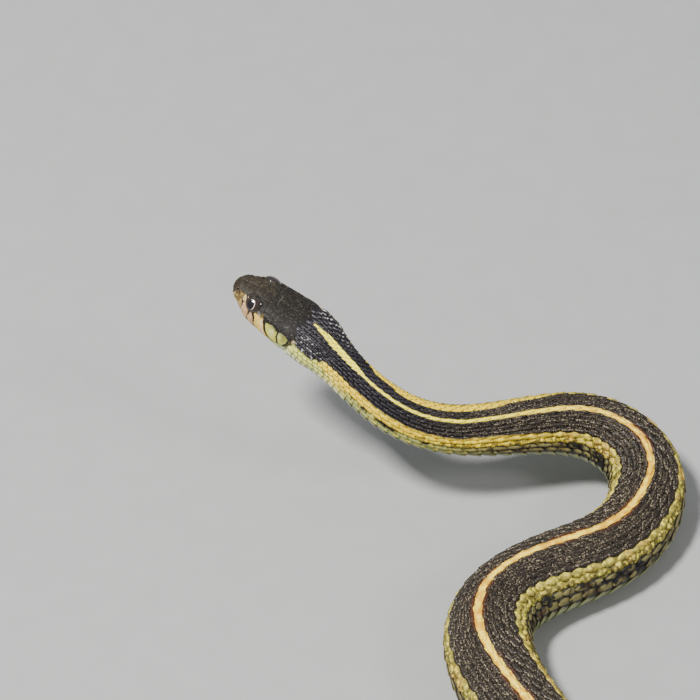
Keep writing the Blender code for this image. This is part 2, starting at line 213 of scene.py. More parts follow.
# Distance; half width; back above the spine; belly below it; squareness of back and of belly.
GIRTH = np.array((
    (0, 2.8, 2.1, 2.7, 2.3, 2.2), (2.2, 3.4, 2.6, 3.5, 2.5, 2.2), (5, 5, 3.4, 4.3, 2.8, 2.2),
    (7.5, 6.2, 4.1, 5, 2.8, 2.2), (11, 6.5, 4.2, 5.7, 2.7, 2.2), (15, 7, 4.2, 5.8, 2.5, 2.3),
    (20, 7.3, 4.8, 5.5, 2.3, 2.3), (25, 7, 5.1, 5, 2.1, 2.3), (29, 5.9, 4.8, 4.6, 2, 2.3),
    (35, 5.2, 4.7, 4.5, 2, 2.3), (48, 5.5, 5.2, 4.5, 2, 2.4), (66, 6.1, 5.7, 4.7, 2, 2.4),
    (86, 7.3, 6.7, 5.2, 2, 2.5), (105, 8.7, 7.6, 6.5, 2, 2.5), (130, 9.3, 8.1, 7.7, 2, 2.5),
    (160, 10.1, 8.8, 8.4, 2, 2.5), (200, 10.4, 9, 8.7, 2, 2.5), (320, 10.4, 9, 8.7, 2, 2.5),
    (420, 9.9, 8.7, 8.5, 2, 2.5), (500, 8.6, 7.6, 7.5, 2, 2.5), (565, 6.9, 6.3, 6.1, 2, 2.5),
    (600, 5.6, 5.2, 4.9, 2, 2.3), (660, 3.9, 3.7, 3.4, 2, 2.2), (720, 2.1, 2, 1.8, 2, 2),
    (767, 0.8, 0.8, 0.6, 2, 2)))
# Distance from the snout, and how far the back leans from upright, away from the snake's left.
ROLL = np.array((
    (0, -2), (14, -3), (22, -5), (28, -6), (34, -5), (40, -9), (47, -15), (54, -22), (59, -24), (65, -23),
    (71, -18), (78, -15), (84, -13), (105, -4), (114, 2), (120, 3), (128, -2), (140, -4), (155, -9),
    (168, -15), (180, -19), (192, -14), (210, -4), (235, 0), (800, 0)), float)
SNOUT_ROUND = 2.2
TAIL_ROUND = 4.0
TAIL_TIP = 766.8
HEAD_MESH_END = 24.0
HEAD_STEP = 0.13
HEAD_COLUMNS = 320
HEAD_MIDDLE = 11.0
BODY_STEP = 2.0
COLUMNS_JOINED = 4
HEAD_DEPTH = 0.05
COAT_DEPTH = 0.38
COAT_STARTS = (17.0, 22.0)

MOUTH_LINE = np.array((
    (-2.0, -1.5), (1.0, -1.6), (4.0, -2.1), (8.0, -2.8), (12.0, -3.1), (14.3, -2.9), (16.0, -2.0),
    (18.6, -1.1)))
MOUTH_CORNER = 18.7
NOSTRIL = (1.9, 58)
NOSTRIL_SIZE = 0.32

# Shields of the head: corners as distance and angle on the left side, colour, how dark the
# grooves round them are, and how far they crown. Those of the right side mirror them.
FRONTAL = (((5.7, -13), (5.7, 13), (8.3, 15), (10.2, 12), (11.8, 0), (10.2, -12), (8.3, -15)),
           "#231e18", 0.25, 0.05)
SIDE_SHIELDS = (
    (((0.9, 1), (2.7, 1), (2.5, 38), (1.0, 38)), "#241e15", 0.25, 0.05),
    (((2.8, 1), (5.5, 1), (5.5, 18), (4.7, 32), (3.0, 46), (2.6, 40)), "#251f17", 0.25, 0.05),
    (((5.7, 15), (4.9, 31), (6.4, 28), (7.8, 31), (9.2, 37), (10.4, 30), (10.3, 14), (8.4, 17)),
     "#201a16", 0.3, 0.07),
    (((12.0, 1), (10.5, 14), (10.5, 34), (11.3, 42), (13.8, 46), (17.2, 30), (18.0, 10), (17.6, 1)),
     "#201b17", 0.25, 0.06),
    (((0.8, 42), (1.6, 44), (1.7, 78), (0.9, 86)), "#2f2618", 0.4, 0.07),
    (((1.8, 46), (2.8, 50), (2.9, 72), (1.9, 79)), "#5c4726", 0.4, 0.07),
    (((3.0, 52), (4.1, 42), (4.3, 70), (3.1, 75)), "#7c6536", 0.4, 0.08),
    (((4.2, 40), (4.6, 38), (5.0, 50), (5.0, 66), (4.4, 70)), "#c3aa70", 0.4, 0.08),
    (((9.3, 42), (10.3, 36), (10.5, 46), (9.5, 50)), "#33271b", 0.6, 0.07),
    (((8.8, 54), (9.6, 51), (10.6, 57), (10.8, 63), (9.6, 66), (8.7, 66)), "#cdb465", 0.4, 0.07),
    (((10.6, 47), (11.5, 43), (13.6, 48), (12.8, 59), (11.5, 62), (10.9, 58)), "#202118", 0.5, 0.08),
    (((13.8, 48), (17.0, 38), (17.6, 50), (16.0, 57), (14.0, 57)), "#1b1715", 0.5, 0.08),
)
# Shields along the upper lip: upper corners from front to rear, where their foot meets the mouth,
# and colour. The last two are ovals that stop short of it.
LIP_SHIELDS = (
    (((0.9, 87), (2.1, 81)), (2.6, 0.9), "#9c8450"),
    (((2.1, 81), (3.2, 77), (4.4, 73)), (5.2, 2.6), "#a98f58"),
    (((4.4, 73), (5.3, 68), (6.0, 75), (7.0, 79)), (7.9, 5.2), "#c89d6e"),
    (((7.0, 79), (7.9, 74), (8.9, 84), (9.3, 94)), (9.9, 7.9), "#cea67a"),
    (((9.1, 84), (8.6, 70), (8.8, 66), (10.9, 64), (11.2, 70), (11.7, 84), (12.4, 96), (13.3, 108)),
     (14.3, 10.0), "#f9cd55"),
    (((12.3, 80), (12.9, 71), (13.9, 64), (14.7, 66), (15.5, 73), (15.9, 89), (16.1, 100), (15.6, 107),
      (14.5, 102), (13.5, 94), (12.7, 88)), (), "#d1d058"),
    (((15.9, 70), (16.5, 64), (17.6, 64), (18.7, 67), (18.9, 74), (18.8, 86), (18.4, 90), (17.4, 92),
      (16.5, 88), (16.1, 78)), (), "#c9c857"),
)
LIP_CLEAR = 0.12
LOWER_LIP_FEET = (1.0, 3.2, 5.6, 8.2, 11.0, 14.2, 17.6)
LOWER_LIP_SHARE = 0.6
LOWER_LIP_COLOUR = "#bcc07c"
CHIN_SHIELDS = (
    ((2.8, 178), (7.4, 178), (7.2, 154), (3.4, 156)), ((7.6, 178), (13.0, 174), (12.6, 154), (7.6, 154)))
CHIN_COLOUR = "#d0d3a6"
# The two shields at the very front, seen from the front: out to the left and up from the spine.
ROSTRAL = ((-1.5, -1.35), (1.5, -1.35), (1.7, -0.2), (0.95, 0.95), (0, 1.2), (-0.95, 0.95), (-1.7, -0.2))
ROSTRAL_COLOUR = "#2b2317"
MENTAL = ((-1.1, -1.8), (1.1, -1.8), (0.9, -2.4), (-0.9, -2.4))
FRONT_DEPTH = 1.5
# How dark the grooves are and how far the shields crown along the mouth, chin and snout's front.
LIP_RELIEF = (0.8, 0.12)
LOWER_LIP_RELIEF = (0.8, 0.1)
CHIN_RELIEF = (0.3, 0.1)
FRONT_RELIEF = (0.6, 0.08)
GROOVE_DEPTH = 0.1
GROOVE_WIDTH = 0.12
SLIT_DEPTH = 0.34
SLIT_WIDTH = 0.13
NOSTRIL_DEPTH = 0.5
NOSTRIL_RIM = 0.1
# Where the shields end: distances at the nape within an angle, and angles down to the throat.
NAPE_START = (14.5, 17.5)
NAPE_ANGLE = 62
THROAT_SPAN = (84, 100)
# Near black: the real dark sutures and bars of the head, and painted shade in the mouth's slit, the nostrils
# and round the eyes.
INK_AND_SHADE = "#0b0806"
NAPE_COLOUR = "#151213"
# The tan of the snout starts lower on the right side than on the left.
CANTHUS_COLOUR = "#2b241b"
CANTHUS_SPAN = (58, 68)
CANTHUS_END = (8.5, 10)
THROAT_COLOUR = "#bfc591"
# Marks on the head: distance, angle, length along, length around, colour and strength.
HEAD_MARKS = (
    (3.2, 88, 0.9, 0.9, "#6b4f1c", 0.9), (1.3, 100, 0.6, 1.0, "#b9a773", 0.7),
    (5.4, 92, 0.7, 0.7, "#d9bb9c", 0.6), (10.3, 57, 0.5, 0.7, "#6f5417", 0.85),
    (9.7, 60, 0.36, 0.5, "#fff3df", 1.0), (10.4, 90, 0.8, 1.6, "#eacb76", 0.6),
    (14.4, 84, 0.7, 1.3, "#dfe39b", 0.6), (17.9, 79, 0.6, 0.8, "#868648", 0.75),
    (16.6, 72, 0.5, 0.7, "#dfe39b", 0.5), (8.0, 22, 0.7, 0.5, "#4d463a", 0.5),
    (11.8, 1, 0.13, 0.16, "#c9c0b0", 0.8), (11.8, 5, 0.13, 0.14, "#b5ab98", 0.7),
    (11.9, 9, 0.12, 0.12, "#a89e8b", 0.6), (15.2, 18, 0.6, 0.1, "#8b8a70", 0.5),
)
# Strokes on the head: points from front to rear, half width at the first and last, and colour.
HEAD_STROKES = (
    (((11.0, 72), (11.4, 86), (12.0, 97), (12.9, 110)), 0.16, 0.28, "#f3d9c4"),
    (((4.6, 73), (5.1, 88)), 0.3, 0.12, INK_AND_SHADE),
    (((7.3, 76), (7.45, 90)), 0.34, 0.06, INK_AND_SHADE),
    (((8.3, 71), (8.9, 84), (9.35, 98)), 0.34, 0.1, INK_AND_SHADE),
    (((11.2, 62), (11.95, 80), (12.7, 93), (13.9, 104), (15.1, 110)), 0.26, 0.38, INK_AND_SHADE),
    (((11.4, 65), (12.7, 61), (13.6, 57), (15.3, 64), (16.4, 59), (17.8, 58), (19.0, 62)), 0.3, 0.34, INK_AND_SHADE),
    (((15.75, 66), (16.1, 86), (17.0, 98)), 0.22, 0.28, INK_AND_SHADE),
    (((19.1, 64), (19.2, 80), (18.7, 92)), 0.28, 0.36, INK_AND_SHADE),
    (((4.3, 37), (5.1, 31), (6.4, 29), (7.8, 32.5), (9.3, 40)), 0.14, 0.24, INK_AND_SHADE),
    (((4.7, 36), (5.2, 46), (5.6, 60), (6.3, 70)), 0.2, 0.16, INK_AND_SHADE),
    (((0.5, 62), (1.3, 92)), 0.4, 0.3, "#1d150d"),
    (((2.2, 46), (2.8, 60)), 0.16, 0.12, "#1d150d"),
    (((3.9, 44), (4.0, 66)), 0.1, 0.1, "#54411f"),
)


def spline_through(points, steps):
    """Points of a natural cubic spline through the given ones, and the line's length at each.

    Its bends at the knots solve one system, in which each bend and its two neighbours balance the
    change of slope there. Between two knots the line is their mean, plus cubic terms in the bends.
    """
    chords = np.linalg.norm(np.diff(points, axis=0), axis=1)
    knots = np.concatenate([[0], np.cumsum(chords ** KNOT_POWER)])
    gap = np.diff(knots)
    system = np.eye(len(knots))
    inner = np.arange(1, len(knots) - 1)
    system[inner, inner - 1] = gap[:-1]
    system[inner, inner] = 2 * (gap[:-1] + gap[1:])
    system[inner, inner + 1] = gap[1:]
    pull = np.zeros_like(points)
    pull[1:-1] = 6 * np.diff(np.diff(points, axis=0) / gap[:, None], axis=0)
    bend = np.linalg.solve(system, pull)
    at = np.linspace(0, knots[-1], steps)
    i = np.clip(np.searchsorted(knots, at) - 1, 0, len(knots) - 2)
    step = gap[i][:, None]
    before = (knots[i + 1] - at)[:, None] / step
    after = 1 - before
    curve = (before ** 3 - before) * bend[i] + (after ** 3 - after) * bend[i + 1]
    line = before * points[i] + after * points[i + 1] + curve * step ** 2 / 6
    length = np.concatenate([[0], np.cumsum(np.linalg.norm(np.diff(line, axis=0), axis=1))])
    return length, line


def between_stations(table, distance):
    """Values between a table's rows by cubics whose slopes are the harmonic means of the rises."""
    at, values = table[:, 0], table[:, 1:]
    gap = np.diff(at)[:, None]
    rise = np.diff(values, axis=0) / gap
    before, after = rise[:-1], rise[1:]
    same_way = before * after > 0
    near, far = 2 * gap[1:] + gap[:-1], gap[1:] + 2 * gap[:-1]
    weighted = near / np.where(same_way, before, 1) + far / np.where(same_way, after, 1)
    slope = np.zeros_like(values)
    slope[0], slope[-1] = rise[0], rise[-1]
    slope[1:-1] = np.where(same_way, (near + far) / weighted, 0)
    i = np.clip(np.searchsorted(at, distance, "right") - 1, 0, len(at) - 2)
    u = np.clip((distance - at[i]) / gap[i, 0], 0, 1)[..., None]
    return ((1 + 2 * u) * (1 - u) ** 2 * values[i] + u * (1 - u) ** 2 * gap[i] * slope[i]
            + u * u * (3 - 2 * u) * values[i + 1] + u * u * (u - 1) * gap[i] * slope[i + 1])


def girth(distance):
    """Half width, back, belly and squareness; snout and tail end in quarter rounds."""
    sizes = between_stations(GIRTH, distance)
    short = np.clip(1 - distance / SNOUT_ROUND, 0, 1)
    over = np.clip((distance - TAIL_TIP + TAIL_ROUND) / TAIL_ROUND, 0, 1)
    sizes[..., :3] *= np.sqrt((1 - short ** 2) * (1 - over ** 2))[..., None]
    return sizes


SPINE_LENGTH, SPINE_LINE = spline_through(ROUTE, 4000)


def spine_point(distance):
    """A point of the spine: the softened higher of the route and of the belly's resting height."""
    x, y, route_z = (np.interp(distance, SPINE_LENGTH, SPINE_LINE[:, k]) for k in range(3))
    resting_z = girth(distance)[..., 2] - FLOOR_PRESS
    z = (route_z + resting_z + np.hypot(route_z - resting_z, TOUCHDOWN_SOFTNESS)) / 2
    return np.stack((x - PLAN_CENTRE[0], y - PLAN_CENTRE[1], z), axis=-1)


def unit(vectors):
    """Vectors made one long: each divided by its own length."""
    return vectors / np.linalg.norm(vectors, axis=-1, keepdims=True)


def spine_frame(distance):
    """The spine's point, and the directions towards the tail, of the back and of the left side."""
    tailward = unit(spine_point(distance + 0.5) - spine_point(np.maximum(distance - 0.5, 0)))
    up = unit(np.array((0.0, 0.0, 1.0)) - tailward[..., 2:] * tailward)
    left = np.cross(tailward, up)
    lean = np.radians(between_stations(ROLL, distance))
    back = np.cos(lean) * up - np.sin(lean) * left
    return spine_point(distance), tailward, back, np.cos(lean) * left + np.sin(lean) * up


def section(distance, angle):
    """How far out and up a point lies in its section: a rounded square, |sine| to 2 / squareness."""
    width, top, belly, top_square, belly_square = np.moveaxis(girth(distance), -1, 0)
    across, along = np.sin(np.radians(angle)), np.cos(np.radians(angle))
    square = np.where(along > 0, top_square, belly_square)
    depth = np.where(along > 0, top, belly)
    out = width * np.copysign(np.abs(across) ** (2 / square), across)
    return out, depth * np.copysign(np.abs(along) ** (2 / square), along)


def plain_skin(distance, angle):
    """A point of the bare skin: the spine's, plus its section's parts to the left and up."""
    centre, _, back, left = spine_frame(distance)
    out, rise = section(distance, angle)
    return centre + out[..., None] * left + rise[..., None] * back


def skin_normal(distance, angle):
    """Outwards from the skin: across both the way round the body and the way along it."""
    along = plain_skin(distance + 0.2, angle) - plain_skin(np.maximum(distance - 0.2, 0), angle)
    around = plain_skin(distance, angle + 2) - plain_skin(distance, angle - 2)
    return unit(np.cross(around, along))


def raised(distance, angle, lift):
    """Points lifted off the skin along its normal, and kept over the floor by as much as they sink."""
    points = plain_skin(distance, angle) + lift[..., None] * skin_normal(distance, angle)
    points[..., 2] = np.maximum(points[..., 2], np.maximum(-lift, 0.0))
    return points


def soft_step(value, start, end):
    """0 before start, 1 after end, and a smooth S between."""
    share = np.clip((value - start) / (end - start), 0, 1)
    return share * share * (3 - 2 * share)


def slimness(distance):
    """Share of the full depth of scales that the body's girth leaves: less on the tail."""
    return np.clip(between_stations(GIRTH, distance)[..., 0] / 5.5, 0.15, 1)


def skin_depth(distance):
    """How far the skin lies inside the solids: little on the head, the coat's depth behind it."""
    return HEAD_DEPTH + (COAT_DEPTH - HEAD_DEPTH) * soft_step(distance, *COAT_STARTS) * slimness(distance)


def mouth_height(distance):
    """The height of the mouth's line from the spine."""
    return np.interp(distance, *MOUTH_LINE.T)


def angle_at_height(distance, height):
    """The angle at which the skin of the lower half of the head lies so high from the spine."""
    _, _, belly, _, square = np.moveaxis(girth(np.asarray(distance, float)), -1, 0)
    return np.degrees(np.arccos(-np.minimum(np.abs(height) / belly, 1) ** (square / 2)))


def even_angles(count):
    """Angles from the belly's middle round to it again that part a head's section evenly."""
    dense = np.linspace(-180, 180, 40001)
    out, rise = section(np.full_like(dense, HEAD_MIDDLE), dense)
    run = np.concatenate([[0], np.cumsum(np.hypot(np.diff(out), np.diff(rise)))])
    return np.interp(np.linspace(0, run[-1], count + 1)[:-1], run, dense)


def from_segment(x, y, start, end):
    """How far points lie from a straight piece, and the share of its length where it is nearest."""
    (ax, ay), (bx, by) = start, end
    share = ((x - ax) * (bx - ax) + (y - ay) * (by - ay)) / ((bx - ax) ** 2 + (by - ay) ** 2)
    share = np.clip(share, 0, 1)
    return np.hypot(x - ax - share * (bx - ax), y - ay - share * (by - ay)), share


def depth_inside(corners, x, y):
    """How far points lie inside an outline: the distance to its nearest side, negative outside."""
    corners = np.asarray(corners, float)
    nearest = np.full(x.shape, np.inf)
    crossings = np.zeros(x.shape, int)
    for (ax, ay), (bx, by) in zip(corners, np.roll(corners, -1, axis=0)):
        nearest = np.minimum(nearest, from_segment(x, y, (ax, ay), (bx, by))[0])
        if ay != by:
            crossings += ((ay > y) != (by > y)) & (x < ax + (y - ay) * (bx - ax) / (by - ay))
    return np.where(crossings % 2 == 1, nearest, -nearest)


def lip_outlines():
    """The lip shields' outlines, down to the mouth and below it: corners and colour of each."""
    upper = []
    for corners, feet, colour in LIP_SHIELDS:
        ends = tuple((foot, angle_at_height(foot, mouth_height(foot) + LIP_CLEAR).item()) for foot in feet)
        upper.append((corners + ends, colour))
    at = np.array(LOWER_LIP_FEET)
    mouth = mouth_height(at)
    depth = girth(at)[..., 2] + mouth
    tops = list(zip(at, angle_at_height(at, mouth - LIP_CLEAR)))
    ends = list(zip(at, angle_at_height(at, mouth - LOWER_LIP_SHARE * depth)))
    return upper, list(zip(tops[:-1], tops[1:], ends[1:], ends[:-1]))


def all_shields():
    """Every shield that is drawn by distance and angle: corners, colour, groove, crown."""
    upper, lower = lip_outlines()
    sided = list(SIDE_SHIELDS)
    sided += [(corners, colour, *LIP_RELIEF) for corners, colour in upper]
    sided += [(corners, LOWER_LIP_COLOUR, *LOWER_LIP_RELIEF) for corners in lower]
    sided += [(corners, CHIN_COLOUR, *CHIN_RELIEF) for corners in CHIN_SHIELDS]
    made = [FRONTAL]
    for corners, *finish in sided:
        made.append((corners, *finish))
        made.append((tuple((distance, -angle) for distance, angle in corners), *finish))
    return made


def head_grid():
    """Distances of the head's rings, closer on the round of the snout, and angles of its columns."""
    round_run = np.linspace(0, np.pi / 2, 26)[1:]
    nose = SNOUT_ROUND * (1 - np.cos(round_run))
    straight = np.arange(SNOUT_ROUND + HEAD_STEP, HEAD_MESH_END, HEAD_STEP)
    rings = np.concatenate([nose, straight])
    return np.meshgrid(rings, even_angles(HEAD_COLUMNS), indexing="ij")


def run_over_head(distance, angle):
    """Lengths along the head from the snout and round it from the mid-back, in millimetres."""
    rings = distance[:, 0]
    width = girth(rings)[:, 0]
    along = np.cumsum(np.hypot(np.diff(rings, prepend=0), np.diff(width, prepend=0)))
    out, rise = section(distance, angle)
    pieces = np.hypot(np.diff(out, axis=1), np.diff(rise, axis=1))
    around = np.concatenate([np.zeros((len(rings), 1)), np.cumsum(pieces, axis=1)], axis=1)
    middle = np.array([np.interp(0, angle[0], row) for row in around])
    return along, around - middle[:, None]


def on_the_run(corners, distance, angle, along, around):
    """Corners given by distance and angle as lengths along and round the head."""
    placed = []
    for at, turn in corners:
        ring = min(np.searchsorted(distance[:, 0], at), len(along) - 1)
        placed.append((np.interp(at, distance[:, 0], along), np.interp(turn, angle[0], around[ring])))
    return np.array(placed)


def along_stroke(points, start, end, x, y):
    """A mask of 1 on a line through points, within a half width that goes from start to end."""
    nearest = np.full(x.shape, 9.0)
    pieces = list(zip(points[:-1], points[1:]))
    for k, ends in enumerate(pieces):
        off, share = from_segment(x, y, *ends)
        nearest = np.minimum(nearest, off - start - (end - start) * (k + share) / len(pieces))
    return 1 - soft_step(nearest, -0.05, 0.09)


def moved_towards(colour, share, code):
    """Colours moved by a share towards a code's."""
    return colour + share[..., None] * (paint(code)[:3] - colour)


def head_relief(distance, angle):
    """The head's lift from its shields, and its colour.

    A point belongs to the shield it lies deepest in. Half of how much deeper it lies in that one
    than in the next is its distance from the groove between them, where the skin dips by a bell
    curve, and from which each shield rises to its crown.
    """
    along, around = run_over_head(distance, angle)
    grid = distance, angle, along, around
    x = np.broadcast_to(along[:, None], around.shape)
    sway = 0.07 * np.sin(2.1 * x + 1.3 * around) + 0.05 * np.sin(5.3 * around - 3.1 * x)
    depths, finishes = [], []
    for corners, colour, groove, crown in all_shields():
        depths.append(depth_inside(on_the_run(corners, *grid), x + sway, around + sway))
        finishes.append((*paint(colour)[:3], groove, crown))
    out, rise = section(distance, angle)
    for corners, colour in ((ROSTRAL, ROSTRAL_COLOUR), (MENTAL, LOWER_LIP_COLOUR)):
        depths.append(np.where(distance < FRONT_DEPTH, depth_inside(corners, out, rise), -9.0))
        finishes.append((*paint(colour)[:3], *FRONT_RELIEF))
    depths, finishes = np.array(depths), np.array(finishes)
    order = np.argsort(depths, axis=0)[-2:]
    second, first = np.take_along_axis(depths, order, axis=0)
    reach = (first - second) / 2
    finish = finishes[order[1]]
    groove = np.maximum(finish[..., 3], finishes[order[0]][..., 3])
    nape = soft_step(distance, *NAPE_START) * (np.abs(angle) < NAPE_ANGLE)
    beyond = np.maximum(soft_step(-first, 0.4, 0.9), nape)
    lift = finish[..., 4] * soft_step(reach, 0, 0.8) - GROOVE_DEPTH * np.exp(-(reach / GROOVE_WIDTH) ** 2)
    colour = finish[..., :3]
    below = soft_step(np.abs(angle), *THROAT_SPAN)[..., None]
    open_skin = (1 - below) * paint(NAPE_COLOUR)[:3] + below * paint(THROAT_COLOUR)[:3]
    colour = colour + beyond[..., None] * (open_skin - colour)
    for at, turn, length, breadth, code, strength in HEAD_MARKS:
        for side in (1, -1):
            spot = on_the_run(((at, side * turn),), *grid)[0]
            far = ((x - spot[0]) / length) ** 2 + ((around - spot[1]) / breadth) ** 2
            colour = moved_towards(colour, strength * (1 - soft_step(far, 0.4, 1.6)), code)
    ink = groove * (1 - soft_step(reach, 0.03, 0.1 + 0.1 * groove)) * (1 - beyond)
    colour = moved_towards(colour, ink, INK_AND_SHADE)
    cheek = (1 - soft_step(-angle, *CANTHUS_SPAN)) * (1 - soft_step(distance, *CANTHUS_END)) * (angle < 0)
    colour = moved_towards(colour, 0.85 * cheek, CANTHUS_COLOUR)
    for points, start, end, code in HEAD_STROKES:
        for side in (1, -1):
            line = on_the_run([(at, side * turn) for at, turn in points], *grid)
            colour = moved_towards(colour, along_stroke(line, start, end, x + sway / 2, around + sway / 2), code)
    return lift * (1 - beyond), colour, x, around


def mouth_and_nostrils(distance, angle, x, around, lift, colour):
    """The slit of the mouth and the pits of the nostrils: bell curves in depth, and in painted shade."""
    _, rise = section(distance, angle)
    off = (rise - mouth_height(distance)) / SLIT_WIDTH
    corner = 1 - soft_step(distance, MOUTH_CORNER - 0.5, MOUTH_CORNER + 0.5)
    slit = np.exp(-off ** 2) * (np.abs(angle) > 90) * corner
    spot = on_the_run((NOSTRIL,), distance, angle, x[:, 0], around)[0]
    far = np.hypot(x - spot[0], np.abs(around) - spot[1]) / NOSTRIL_SIZE
    pit = np.exp(-far ** 4)
    rim = NOSTRIL_RIM * np.exp(-((far - 1.6) / 0.5) ** 2)
    lift = lift - SLIT_DEPTH * slit - NOSTRIL_DEPTH * pit + rim
    # The slit and the pits are darkened as painted shade in their depth.
    return lift, moved_towards(colour, np.clip(0.92 * slit + 0.96 * pit, 0, 1), INK_AND_SHADE)


# The eye's opening faces out and up, and the pupil looks out and forward within it.
EYE_AXIS = {"out": 0.6, "up": 0.79, "forward": 0.08}
EYE_GAZE = {"out": 0.8, "up": 0.42, "forward": 0.44}
EYE_ACROSS = 2.02
EYE_DEEP = 1.0
EYE_SINK = 0.5
EYELID_ANGLE = 71.0
BROW_COVER = 30.0
EYELID_RISE = 0.1
BROW_RISE = 0.3
# How much wider the lids' rim is at the brow, in degrees, and where the skin is its own again.
RIM_WIDTH = 7
BROW_WIDTH = 5
RIM_FADE = (14, 30)
# How far out from an eye the skin is shaped, in lens radii, how far it dips behind the lens, and
# how dark the painted shade is in the socket and along the lids' edge.
EYE_SURROUND = 2.6
SOCKET_SINK = 0.9
LID_SHADE = 0.94


def eye_place(side):
    """The lens of an eye, and its axis: its front meets the front of the solid's ball."""
    low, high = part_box("eye_left" if side > 0 else "eye_right")
    centre = np.array((low + high) / 2) / MM
    distances = np.linspace(4, 11, 141)
    nearest = np.argmin(np.linalg.norm(spine_point(distances) - centre, axis=1))
    basis = spine_frame(distances[nearest])[1:]
    axis = turned_to(EYE_AXIS, side, basis)
    return centre + ((high.z - low.z) / 2 / MM - EYE_DEEP - EYE_SINK) * axis, axis, basis


def turned_to(shares, side, basis):
    """A direction from its shares out to the side, up and forward."""
    tailward, back, left = basis
    return unit(shares["out"] * side * left + shares["up"] * back - shares["forward"] * tailward)


def round_the_eyes(points, colour):
    """The skin opens round each eye: it dips behind the lens and stands up in a rim round it.

    The sums are done in a space stretched along the lens's axis, where the lens is a ball. The
    angle from the axis at which the skin closes on the lens is less on the side of the brow, where
    the rim also stands higher.
    """
    for side in (1, -1):
        centre, axis, basis = eye_place(side)
        arm = points - centre
        arm = arm + (EYE_ACROSS / EYE_DEEP - 1) * (arm @ axis)[..., None] * axis
        reach = np.linalg.norm(arm, axis=-1)
        turn = np.degrees(np.arccos(np.clip(arm @ axis / reach, -1, 1)))
        near = reach < EYE_SURROUND * EYE_ACROSS
        inward = unit((side * basis[2] @ axis) * axis - side * basis[2])
        brow = arm @ inward / (np.linalg.norm(arm - (arm @ axis)[..., None] * axis, axis=-1) + 0.01)
        lid = EYELID_ANGLE - BROW_COVER * soft_step(brow, 0.15, 0.95)
        opening = 1 - soft_step(turn, lid - RIM_WIDTH, lid)
        at_brow = soft_step(brow, 0, 0.9)
        rim = np.exp(-((turn - lid - 3) / (RIM_WIDTH + BROW_WIDTH * at_brow)) ** 2)
        rim = rim * (EYELID_RISE + BROW_RISE * at_brow)
        closed = np.maximum(reach, EYE_ACROSS + rim)
        wanted = np.where(opening > 0, EYE_ACROSS - SOCKET_SINK * opening, closed)
        blend = near * (1 - soft_step(turn - EYELID_ANGLE, *RIM_FADE))
        arm = arm * ((reach + blend * (wanted - reach)) / reach)[..., None]
        points = centre + arm - (1 - EYE_DEEP / EYE_ACROSS) * (arm @ axis)[..., None] * axis
        # Painted shade: the skin in the socket and in a ring round the lids' edge goes dark, wider under the
        # brow.
        dark = near * (1 - soft_step(turn, lid, lid + 6 + 3 * soft_step(brow, 0, 0.8)))
        colour = moved_towards(colour, LID_SHADE * dark, INK_AND_SHADE)
    return points, colour


def ring_faces(first, second):
    """Quads between two closed rings of point numbers, facing outwards."""
    corners = (first, np.roll(first, -1, -1), np.roll(second, -1, -1), second)
    return np.stack(corners, axis=-1).reshape(-1, 4).tolist()


def pole_faces(pole, ring):
    """Triangles from a point to a closed ring behind it, or to one in front, given backwards."""
    return np.stack((np.full_like(ring, pole), np.roll(ring, -1), ring), -1).tolist()


def joining_faces(fine, coarse):
    """Faces from a fine ring to one with a quarter of its points: two quads and a triangle each."""
    starts = np.arange(0, len(fine), COLUMNS_JOINED)
    a, b, c = fine[starts], fine[starts + 1], fine[starts + 2]
    d, e = fine[starts + 3], np.roll(fine[starts], -1)
    near, far = coarse, np.roll(coarse, -1)
    quads = np.concatenate([np.stack((a, b, c, near), -1), np.stack((c, d, e, far), -1)])
    return quads.tolist() + np.stack((c, far, near), -1).tolist()


# Rows of scales are counted from the vertebral one: their lanes part the side of the body into
# wider and wider strips down to the belly's plates.
LANE_SLOPE = 7.906
LANE_CURVE = 0.298
LAST_LANE = 9.5
THROAT_LANES = 4.0
NECK_SHARE = 0.88
NECK_SPAN = (80.0, 130.0)


def flank_angle(lane, distance):
    """The angle of a lane on the side: a square law, with narrower lanes on the neck."""
    share = NECK_SHARE + (1 - NECK_SHARE) * soft_step(distance, *NECK_SPAN)
    return share * (LANE_SLOPE * lane + LANE_CURVE * lane ** 2)


def lane_angle(lane, distance):
    """The angle of a lane's place: the flank's down the side, then even steps over the belly."""
    side = np.minimum(np.abs(lane), LAST_LANE)
    under = (np.abs(lane) - side) / THROAT_LANES * (180 - flank_angle(LAST_LANE, distance))
    return np.copysign(flank_angle(side, distance) + under, lane)


def angle_lane(angle, distance):
    """The lane of an angle: the square law solved the other way."""
    share = NECK_SHARE + (1 - NECK_SHARE) * soft_step(distance, *NECK_SPAN)
    plain = np.abs(angle) / share
    lane = (np.sqrt(LANE_SLOPE ** 2 + 4 * LANE_CURVE * plain) - LANE_SLOPE) / (2 * LANE_CURVE)
    edge = flank_angle(LAST_LANE, distance)
    under = LAST_LANE + (np.abs(angle) - edge) / (180 - edge) * THROAT_LANES
    return np.copysign(np.where(lane > LAST_LANE, under, lane), angle)


HEAD_MAP_SHARE = 0.3
HEAD_MAP_END = 26.0
MAP_MARGIN = 0.001


def skin_map(distance, angle):
    """The skin's own unwrap: along the snake, with more room for the head, and round it."""
    along = np.interp(distance, (0.0, HEAD_MAP_END, TAIL_TIP), (0.0, HEAD_MAP_SHARE, 1.0))
    return MAP_MARGIN + (1 - 2 * MAP_MARGIN) * np.stack((along, (angle + 180) / 360), axis=-1)


def give_map(piece, places):
    """A UV map for baking, from a place for each point."""
    mesh = piece.data
    layer = mesh.uv_layers.new(name="OFBake")
    corners = np.empty(len(mesh.loops), int)
    mesh.loops.foreach_get("vertex_index", corners)
    layer.uv.foreach_set("vector", places.reshape(-1, 2)[corners].ravel())


def give_vectors(piece, name, *values):
    """Three numbers for each point, which the material reads by name."""
    stacked = np.stack([value.ravel() for value in np.broadcast_arrays(*values)], axis=-1)
    layer = piece.data.attributes.new(name, "FLOAT_VECTOR", "POINT")
    layer.data.foreach_set("vector", stacked.astype(np.float32).ravel())


